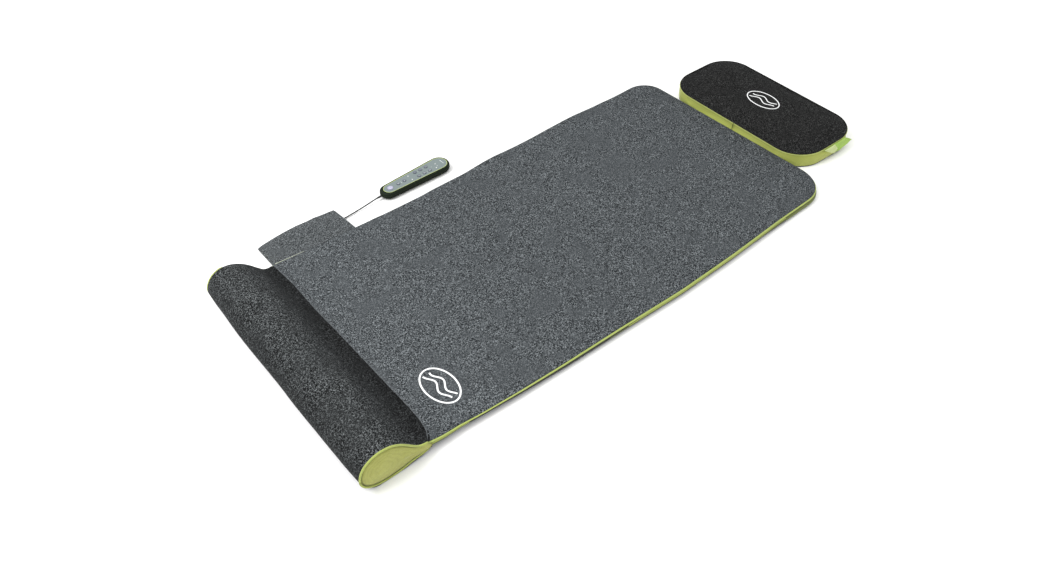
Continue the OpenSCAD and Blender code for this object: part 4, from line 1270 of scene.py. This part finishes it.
route = [Vector(p) / 1000 for p in TAIL + coil_points() + RUN]
curve = bpy.data.curves.new("handset_lead", "CURVE")
curve.dimensions = "3D"
curve.bevel_depth = 0.0015
curve.bevel_resolution = 4
curve.use_fill_caps = True
sp = curve.splines.new("POLY")
dense = catmull(np.array([list(p) for p in route]), 3)
sp.points.add(len(dense) - 1)
for q, p in zip(sp.points, dense):
    q.co = (*p, 1)
sp.use_smooth = True
lead = bpy.data.objects.new("handset_lead", curve)
scene.collection.objects.link(lead)
curve.materials.append(M_CORD)
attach(lead, "mat_base")
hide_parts("handset_cord", "cord_coil")

# ------------------------------------------------------------------ hand control
HC = Matrix.Translation((-0.231, 0.3356, 0)) @ Matrix.Rotation(math.radians(2), 4, "Z")


def hc_outline(d, n=96, back=0.0):
    """The hand control's outline drawn in by d, evenly spaced, in its own frame."""
    r1, r2 = 0.020 - d, 0.0255 - d
    c1, c2 = 0.020 + back, 0.183 - 0.0255
    L = c2 - c1
    phi = math.acos((0.020 - 0.0255) / L)      # the tangent points
    p = [(c2 + r2 * math.cos(t), r2 * math.sin(t)) for t in np.linspace(-phi, phi, 60)]
    p += [(c1 + r1 * math.cos(t), r1 * math.sin(t)) for t in np.linspace(phi, 2 * math.pi - phi, 60)]
    return resample(np.array(p), n, closed=True)


def hc_shell(name, profile, mat, n=96, caps=(False, False)):
    rows = []
    for row in profile:
        d, z = row[:2]
        L = hc_outline(d, n, row[2] if len(row) > 2 else 0.0)
        rows.append(np.stack([L[:, 0], L[:, 1], np.full(n, z)], -1))
    V = np.array(rows).reshape(-1, 3)
    V = (np.array(HC.to_3x3()) @ V.T).T + np.array(HC.translation)
    F = grid_faces(len(rows), n, close_v=True)
    if caps[0]:
        F.append(tuple(range(n)))
    if caps[1]:
        F.append(tuple((len(rows) - 1) * n + j for j in range(n)))
    o = outward(obj_from(name, V, F, mat))
    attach(o, "mat_base")
    return o


low_prof = [(0.0140, 0.0003), (0.0086, 0.0002), (0.0068, 0.0007), (0.0050, 0.0017), (0.0034, 0.0029), (0.0020, 0.0043), (0.0009, 0.0058), (0.0002, 0.0074), (0.0, 0.00865), (0.0003, 0.0089), (0.0008, 0.0090), (0.0030, 0.0090), (0.0034, 0.0084), (0.0048, 0.0062), (0.0070, 0.0042), (0.0100, 0.0030), (0.0140, 0.0024)]
lower = hc_shell("handset_back_shell", low_prof, M_BODY, caps=(True, True))
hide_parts("handset_lower_shell")
bk = 0.004
up_prof = [(0.0030, 0.0093), (0.0009, 0.0093), (0.0004, 0.0094), (0.0002, 0.0097), (0.0, 0.0103), (0.0, 0.0132), (0.0003, 0.0147), (0.0010, 0.0160), (0.0020, 0.0170), (0.0031, 0.0176, bk * 0.2), (0.0041, 0.01785, bk * 0.6), (0.0047, 0.01785, bk * 0.9), (0.0051, 0.0176, bk), (0.0052, 0.0172, bk), (0.0052, 0.0156, bk), (0.0065, 0.0154, bk), (0.0065, 0.0150, bk), (0.0035, 0.0148), (0.0030, 0.0093)]
upper = hc_shell("handset_front_shell", up_prof, M_BODY)
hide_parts("handset_upper_shell")


def hc_flat(name, loops, z0, z1, mat, body="mat_base"):
    """Raised print on the hand control: closed outlines in its own frame, extruded."""
    V, F, base = [], [], 0
    for L in loops:
        n = len(L)
        for z in (z0, z1):
            V += [(x, y, z) for x, y in L]
        F.append(tuple(base + n + j for j in range(n)))
        F.append(tuple(base + j for j in reversed(range(n))))
        F += [(base + j, base + (j + 1) % n, base + n + (j + 1) % n, base + n + j) for j in range(n)]
        base += 2 * n
    V = (np.array(HC.to_3x3()) @ np.array(V).T).T + np.array(HC.translation)
    o = outward(obj_from(name, V, F, mat, shade=False))
    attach(o, body)
    return o


def circle2(cx, cy, r, n=20):
    return [(cx + r * math.cos(t), cy + r * math.sin(t)) for t in np.linspace(0, 2 * math.pi, n + 1)[:-1]]


def bar2(cx, cy, lx, ly, ang=0.0):
    ca, sa = math.cos(ang), math.sin(ang)
    return [(cx + ca * x - sa * y, cy + sa * x + ca * y) for x, y in ((-lx / 2, -ly / 2), (lx / 2, -ly / 2), (lx / 2, ly / 2), (-lx / 2, ly / 2))]


def ring_sector(cx, cy, r0, r1, a0, a1, n=18):
    t = np.linspace(a0, a1, n)
    return [(cx + r1 * math.cos(v), cy + r1 * math.sin(v)) for v in t] + [(cx + r0 * math.cos(v), cy + r0 * math.sin(v)) for v in t[::-1]]


def raise_on(name, node_name, loops, body, mat=M_ICON):
    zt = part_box(node_name)[1].z
    return hc_flat(name, loops, zt - 0.0001, zt + 0.00018, mat, body)


mm = 0.001
raise_on("power_icon", "power_button", [ring_sector(25 * mm, 0, 2.5 * mm, 3.2 * mm, math.radians(35), math.radians(325)), bar2(27.6 * mm, 0, 3.4 * mm, 0.7 * mm)], "power_button_cap", M_ICON)
raise_on("warmth_icon", "warmth_button", [bar2((45.4 + 1.6 * k) * mm, 0, 0.6 * mm, (3.4 - 0.5 * (k % 2)) * mm) for k in range(3)], "warmth_button_cap")
raise_on("level_icon", "level_button", [bar2((61.6 + 1.3 * k) * mm, (-1.4 + 0.5 * k) * mm, 0.7 * mm, (1.0 + 1.0 * k) * mm) for k in range(3)], "level_button_cap")
BTN_AT = [(98, 8), (113, 8), (128, 8), (98, -8), (113, -8), (128, -8)]
for k, (bx, by) in enumerate(BTN_AT, 1):
    loops = [circle2((bx + 1.7 * math.cos(2 * math.pi * j / k)) * mm if k > 1 else bx * mm, (by + 1.7 * math.sin(2 * math.pi * j / k)) * mm if k > 1 else by * mm, 0.55 * mm, 12) for j in range(k)]
    raise_on(f"program_icon_{k}", f"program_button_{k}", loops, f"program_button_{k}_cap")
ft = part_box("handset_face")[1].z
hc_flat("face_print", [bar2(167 * mm, 0, 1.1 * mm, 15 * mm), circle2(150.5 * mm, -5.5 * mm, 0.8 * mm), circle2(138 * mm, 0, 0.6 * mm), bar2(105.5 * mm, 8 * mm, 1.6 * mm, 0.5 * mm), bar2(120.5 * mm, 8 * mm, 1.6 * mm, 0.5 * mm), bar2(105.5 * mm, -8 * mm, 1.6 * mm, 0.5 * mm), bar2(120.5 * mm, -8 * mm, 1.6 * mm, 0.5 * mm), bar2(55 * mm, 0, 0.5 * mm, 7 * mm)], ft - 0.0001, ft + 0.00015, M_ICON)

# ------------------------------------------------------------------ pillow
PC = np.array([0.6320, 0.0014])
PHX, PHY, PR = 0.1030, 0.2072, 0.0700
PROT = -0.0290
PZB = 0.0368                                # height of the top seam, at the middle


def pil_half(x, d=0.0):
    r = PR - d
    dx = np.clip(np.abs(x) - (PHX - d - r), 0, r)
    return PHY - d - r + np.sqrt(np.maximum(r * r - dx * dx, 0))


def pillow_base():
    """The pillow's top grid: its stations along X, its spread across, its points, and the loop round its edge."""
    th = np.linspace(-math.pi / 2, math.pi / 2, 25)
    xl = -(PHX - PR) + PR * np.sin(th[:13])
    xr = (PHX - PR) + PR * np.sin(th[12:])
    xm = np.linspace(-(PHX - PR), PHX - PR, 13)[1:-1]
    xs = np.concatenate([xl, xm, xr])
    us = np.linspace(-1, 1, 71)
    G = np.zeros((len(xs), len(us), 2))
    for i, x in enumerate(xs):
        G[i, :, 0] = x
        G[i, :, 1] = us * pil_half(x)
    nx, nu = len(xs), len(us)
    loop = [(i, 0) for i in range(nx)] + [(nx - 1, j) for j in range(1, nu)] + [(i, nu - 1) for i in range(nx - 2, -1, -1)] + [(0, j) for j in range(nu - 2, 0, -1)]
    return xs, us, G, loop


def rot_pil(P):
    c_, s_ = math.cos(PROT), math.sin(PROT)
    x, y = P[..., 0].copy(), P[..., 1].copy()
    P[..., 0] = PC[0] + c_ * x - s_ * y
    P[..., 1] = PC[1] + s_ * x + c_ * y
    return P


def make_pillow():
    xs, us, G, loop = pillow_base()
    nx, nu = G.shape[:2]
    top_xy = G.reshape(-1, 2)
    ids = np.arange(nx * nu).reshape(nx, nu)
    L = np.array([ids[i, j] for i, j in loop])
    out_xy = top_xy[L]
    nrm = out_xy - np.roll(out_xy, 1, 0)
    T = np.roll(out_xy, -1, 0) - np.roll(out_xy, 1, 0)
    N = np.stack([T[:, 1], -T[:, 0]], -1)
    N /= np.linalg.norm(N, axis=1)[:, None] + 1e-12
    if (N * out_xy).sum() < 0:
        N = -N
    edge = np.min([PHX - np.abs(top_xy[:, 0]), pil_half(top_xy[:, 0]) - np.abs(top_xy[:, 1])], axis=0)
    crown = 0.0050 * smooth(edge / 0.060) + 0.0010 * smooth(edge / 0.012)
    tilt = 0.0017 * top_xy[:, 0] / 0.1
    V = [np.column_stack([top_xy, PZB + tilt + crown])]
    F, part = [], []
    for i in range(nx - 1):
        for j in range(nu - 1):
            F.append((ids[i, j], ids[i + 1, j], ids[i + 1, j + 1], ids[i, j + 1]))
            part.append(0)
    nl = len(L)
    zs = np.linspace(1.0, 0.05, 12)
    prev = L
    base = nx * nu
    bulge = 0.0022
    for r, z in enumerate(zs[1:-1], 1):
        b = bulge * math.sin(math.pi * r / (len(zs) - 1))
        P = out_xy + N * b
        V.append(np.column_stack([P, (PZB + tilt[L]) * z]))
        cur = base + np.arange(nl)
        for k in range(nl):
            F.append((prev[k], cur[k], cur[(k + 1) % nl], prev[(k + 1) % nl]))
            part.append(1)
        base += nl
        prev = cur
    bot_ids = base + ids
    bot = np.column_stack([top_xy * 0.992, np.full(nx * nu, 0.0008)])
    V.append(bot)
    cur = bot_ids.ravel()[L]
    for k in range(nl):
        F.append((prev[k], cur[k], cur[(k + 1) % nl], prev[(k + 1) % nl]))
        part.append(1)
    for i in range(nx - 1):
        for j in range(nu - 1):
            F.append((bot_ids[i, j], bot_ids[i, j + 1], bot_ids[i + 1, j + 1], bot_ids[i + 1, j]))
            part.append(2)
    V = np.vstack(V)
    part = np.array(part)
    o = obj_from("pillow_sim", V, F, M_PILLOW)
    outward(o)
    pins = np.unique(bot_ids)
    cap = np.full(len(V), 0.0026)
    cap[:nx * nu] = 0.0030
    cap[L] = 0.0005
    V = simulate(o, 3.0, 20, cap, pins=pins, bending=1.2)
    bpy.data.objects.remove(o)
    # softness of the top, and upright creases in the side band
    P3 = V.copy()
    tops = np.arange(nx * nu)
    soft = smooth(edge / 0.03)
    V[tops, 2] += soft * (0.0006 * vnoise(P3[tops], (0.05, 0.06, 1), 71) + 0.00025 * vnoise(P3[tops], (0.02, 0.02, 1), 73))
    side_ids = np.arange(nx * nu, base)
    if len(side_ids):
        ring = (side_ids - nx * nu) % nl
        row = (side_ids - nx * nu) // nl
        s = np.cumsum(np.linalg.norm(out_xy - np.roll(out_xy, 1, 0), axis=1))
        fall = np.sin(math.pi * (row + 1) / (len(zs) - 1))
        q = np.stack([s[ring], row * 0.004 * 1.0, np.zeros(len(row))], -1)
        slant = np.stack([s[ring] + row * 0.0035, row * 0.0009, np.zeros(len(row))], -1)
        cr = 0.0010 * vnoise(slant, (0.030, 0.016, 1), 81) + 0.0005 * vnoise(q, (0.013, 0.020, 1), 83)
        mid_seam = np.exp(-((P3[side_ids, 1] - 0.0) / 0.0035) ** 2) * (P3[side_ids, 0] < 0)
        V[side_ids, :2] += N[ring] * ((cr * fall - 0.0011 * mid_seam * fall))[:, None]
    V = rot_pil(V)
    V[:, 2] = np.maximum(V[:, 2], 0.0004)
    made = []
    for k, nm, mt in ((0, "pillow_top_cloth", M_PILLOW), (1, "pillow_side_cloth", M_LIME_PILLOW), (2, "pillow_base_cloth", M_UNDER)):
        fs = [F[i] for i in np.where(part == k)[0]]
        used = sorted({i for f in fs for i in f})
        mp_ = {o_: n_ for n_, o_ in enumerate(used)}
        o = obj_from(nm, V[used], [tuple(mp_[i] for i in f) for f in fs], mt)
        bm = bmesh.new()
        bm.from_mesh(o.data)
        cx, cy = PC
        s = 0
        for f in bm.faces:
            c3 = f.calc_center_median()
            out_dir = Vector((0, 0, 1)) if k == 0 else (Vector((0, 0, -1)) if k == 2 else Vector((c3.x - cx, (c3.y - cy) * 0.5, 0)))
            s += f.normal.dot(out_dir) * f.calc_area()
        if s < 0:
            bmesh.ops.reverse_faces(bm, faces=bm.faces)
        bm.to_mesh(o.data)
        bm.free()
        made.append(o)
    seam_top = V[L]
    # the cushion's own core, a little inside the cloth
    C = V.copy()
    mid = np.array([PC[0], PC[1], 0.021])
    C = mid + (C - mid) * np.array([0.955, 0.975, 0.80])
    core = obj_from("pillow_core_foam", C, F, M_CORE)
    outward(core)
    made.append(core)
    return made, seam_top, V, (xs, us, ids)


(p_top, p_side, p_base, p_core), p_seam, PV, PIDX = make_pillow()
for o, nm, sl in ((p_top, "pillow_top", "dark_knit"), (p_side, "pillow_band", "lime_fabric"), (p_base, "pillow_bottom", "underside"), (p_core, "pillow_core", "foam")):
    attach(o, "pillow")
    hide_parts(nm)
# turned edge of the top cloth, a thin dark cord at the seam
edge_c = p_seam.copy()
ctr = np.array([PC[0], PC[1], 0])
edge_o = tube("pillow_top_edge", edge_c + np.array([0, 0, 0.0002]), 0.0012, M_PILLOW, n=8, closed=True)
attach(edge_o, "pillow")
# the pale piping just under it, a paler lime that paints the highlight along the top seam
pale = edge_c.copy()
pale[:, :2] = PC + (pale[:, :2] - PC) * np.array([1.0085, 1.0045])
pale[:, 2] -= 0.0016
piping_highlight_o = tube("pillow_piping_highlight", pale, 0.0011, M_PIPING_PAINTED_HIGHLIGHT, n=8, closed=True)
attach(piping_highlight_o, "pillow")
# lower seam roll of the band, in the dark binding colour that paints the contact shadow at its foot
low_c = edge_c.copy()
low_c[:, :2] = PC + (low_c[:, :2] - PC) * 0.9945
low_c[:, 2] = 0.0019
low_o = tube("pillow_low_edge", low_c, 0.0014, M_BIND_PAINTED_SHADE, n=8, closed=True)
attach(low_o, "pillow")


def flap(name, upper_, lower_, thick, mat, wave=0.0):
    """A flat strap between an upper and a lower edge, each a list of points, with rounded long edges."""
    A, B = np.asarray(upper_, float), np.asarray(lower_, float)
    A, B = resample(catmull(A, 5), 40), resample(catmull(B, 5), 40)
    cols = np.array([0, 0.03, 0.12, 0.3, 0.5, 0.7, 0.88, 0.97, 1.0])
    thin = np.array([0.30, 0.9, 1, 1, 1, 1, 1, 0.9, 0.30]) * thick / 2
    C = A[:, None] + (B - A)[:, None] * cols[None, :, None]
    C[..., 1] += wave * vnoise(C, (0.012, 1, 0.016), 91)
    T = np.gradient(C, axis=0)
    N = np.cross(T, (B - A)[:, None])
    N /= np.linalg.norm(N, axis=-1)[..., None] + 1e-12
    ring = np.concatenate([C + N * thin[None, :, None], (C - N * thin[None, :, None])[:, ::-1]], 1)
    k, n = ring.shape[:2]
    F = grid_faces(k, n, close_v=True)
    F += [tuple(range(n)), tuple((k - 1) * n + j for j in reversed(range(n)))]
    return outward(obj_from(name, ring.reshape(-1, 3), F, mat))


# the pull strap over the near end of the band: slant-cut at its start, loose at its end
strap = flap("pillow_pull_strap",
             [(0.5985, -0.2092, 0.0340), (0.6150, -0.2093, 0.0346), (0.6350, -0.2095, 0.0350), (0.6550, -0.2100, 0.0358), (0.6700, -0.2106, 0.0372), (0.6850, -0.2115, 0.0300), (0.7000, -0.2122, 0.0198)],
             [(0.6360, -0.2112, 0.0105), (0.6420, -0.2113, 0.0098), (0.6500, -0.2113, 0.0092), (0.6600, -0.2113, 0.0090), (0.6740, -0.2114, 0.0118), (0.6870, -0.2118, 0.0152), (0.6992, -0.2122, 0.0186)],
             0.0016, M_STRAP, wave=0.0010)
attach(strap, "pillow")
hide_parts("pillow_strap")
# a paler lime fold over the strap's start that paints the highlight on the strap
strap_highlight = flap("pillow_strap_fold_highlight",
             [(0.5975, -0.2106, 0.0348), (0.6100, -0.2108, 0.0352), (0.6220, -0.2110, 0.0354), (0.6340, -0.2112, 0.0358)],
             [(0.6365, -0.2130, 0.0105), (0.6400, -0.2131, 0.0125), (0.6440, -0.2131, 0.0150), (0.6480, -0.2129, 0.0185)],
             0.0013, M_STRAP_PAINTED_HIGHLIGHT, wave=0.0006)
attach(strap_highlight, "pillow")
# upright seam in the band facing the mat, dark with painted shade in its groove
sx = np.linspace(0, 1, 9)
seam_p = np.stack([np.full(9, 0.0) + (PC[0] - PHX - 0.0022 * np.sin(math.pi * np.linspace(0.03, 0.97, 9)) - 0.0012), np.full(9, -0.0045), np.linspace(0.0028, PZB - 0.0015, 9)], -1)
sv = tube("pillow_band_seam", seam_p, 0.0007, M_GROOVE_PAINTED_SHADE, n=8)
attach(sv, "pillow")


# ------------------------------------------------------------------ plain printed marks
def strip_on(name, centre, width, height_fn, mat, closed=False, body="mat_base", lift=0.00042):
    """A printed line that lies on a surface: centre points in X and Y, its width, and the surface's height."""
    C = np.asarray(centre, float)
    T = (np.roll(C, -1, 0) - np.roll(C, 1, 0)) if closed else np.gradient(C, axis=0)
    T /= np.linalg.norm(T, axis=1)[:, None]
    N = np.stack([-T[:, 1], T[:, 0]], -1)
    cols = [(-0.5, 0.0), (-0.46, lift), (0.0, lift), (0.46, lift), (0.5, 0.0)]
    rows = []
    for c_, h_ in cols:
        xy = C + N * c_ * width
        rows.append(np.column_stack([xy, height_fn(xy) + h_ - 0.00005]))
    R = np.array(rows)
    F = grid_faces(len(cols), len(C), close_v=closed)
    o = obj_from(name, R.reshape(-1, 3), F, mat)
    bm = bmesh.new()
    bm.from_mesh(o.data)
    if sum(f.normal.z for f in bm.faces) < 0:
        bmesh.ops.reverse_faces(bm, faces=bm.faces)
    bm.to_mesh(o.data)
    bm.free()
    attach(o, body)
    return o


def mat_height(xy):
    return warp(np.column_stack([xy, np.full(len(xy), 0.020)]))[:, 2]


tb = bpy.context.evaluated_depsgraph_get()
from mathutils.bvhtree import BVHTree
ptree = BVHTree.FromObject(p_top, tb)


def pil_height(xy):
    out = []
    for x, y in xy:
        hit = ptree.ray_cast(Vector((x, y, 0.2)), Vector((0, 0, -1)))
        out.append(hit[0].z if hit[0] is not None else 0.048)
    return np.array(out)


def emblem(prefix, cx, cy, a_, b_, w, hf, body, turn=0.0):
    """An oval ring with two wave lines, a plain mark."""
    ca, sa = math.cos(turn), math.sin(turn)
    R = lambda P: np.stack([cx + ca * P[:, 0] - sa * P[:, 1], cy + sa * P[:, 0] + ca * P[:, 1]], -1)
    t = np.linspace(0, 2 * math.pi, 97)[:-1]
    strip_on(prefix + "_ring", R(np.stack([b_ * np.cos(t), a_ * np.sin(t)], -1)), w, hf, M_PRINT, closed=True, body=body)
    for k, off in enumerate((-0.20, 0.26)):
        s = np.linspace(-1, 1, 61)
        half_ = a_ * math.sqrt(max(0.0, 1 - off * off)) * 0.80
        P = np.stack([b_ * (off + 0.17 * np.sin(s * math.pi * 1.5 + 0.6 * k)), s * half_], -1)
        strip_on(f"{prefix}_wave_{k}", R(P), w, hf, M_PRINT, body=body)


emblem("mat_mark", -0.4475, -0.190, 0.0455, 0.0290, 0.0034, mat_height, "mat_base", turn=math.radians(2))
emblem("pillow_mark", 0.6400, 0.0030, 0.0440, 0.0260, 0.0024, pil_height, "pillow", turn=math.radians(-2))

# ------------------------------------------------------------------ stage and light
fm, fnt, fb = material("floor_white")
fb.inputs["Base Color"].default_value = (0.90, 0.90, 0.90, 1)
fb.inputs["Roughness"].default_value = 0.9
fb.inputs["Specular IOR Level"].default_value = 0.0
floor = obj_from("floor", [(-30, -30, 0), (30, -30, 0), (30, 30, 0), (-30, 30, 0)], [(0, 1, 2, 3)], fm, shade=False)

world = bpy.data.worlds.new("studio")
scene.world = world
world.use_nodes = True
wn = world.node_tree
wn.nodes.clear()
wo = wn.nodes.new("ShaderNodeOutputWorld")
bg = wn.nodes.new("ShaderNodeBackground")
wn.links.new(bg.outputs[0], wo.inputs[0])
tcw = wn.nodes.new("ShaderNodeTexCoord")
spw = wn.nodes.new("ShaderNodeSeparateXYZ")
wn.links.new(tcw.outputs["Generated"], spw.inputs[0])
def wmath(op, x_, y_):
    n_ = wn.nodes.new("ShaderNodeMath")
    n_.operation = op
    for sock, v in zip(n_.inputs, (x_, y_)):
        if isinstance(v, bpy.types.NodeSocket):
            wn.links.new(v, sock)
        else:
            sock.default_value = v
    return n_.outputs[0]


zup = wmath("MAXIMUM", spw.outputs["Z"], 0.0)
level = wmath("ADD", wmath("MULTIPLY", wmath("POWER", zup, 1.6), 1.50), 0.36)
wn.links.new(level, bg.inputs["Strength"])
bg.inputs["Color"].default_value = (1.0, 1.0, 1.0, 1)


def area(name, at, target, size, power, color=(1, 1, 1)):
    l = bpy.data.lights.new(name, "AREA")
    l.shape = "SQUARE"
    l.size = size
    l.energy = power
    l.color = color
    o = bpy.data.objects.new(name, l)
    scene.collection.objects.link(o)
    o.location = at
    o.rotation_mode = "QUATERNION"
    o.rotation_quaternion = (Vector(target) - Vector(at)).to_track_quat("-Z", "Y")
    return o


area("key", (-1.70, 0.50, 2.20), (-0.1, 0.0, 0.0), 1.2, 45)
scene.view_settings.view_transform = "Standard"
scene.view_settings.look = "None"
scene.view_settings.exposure = 0.0
scene.view_settings.gamma = 1.0
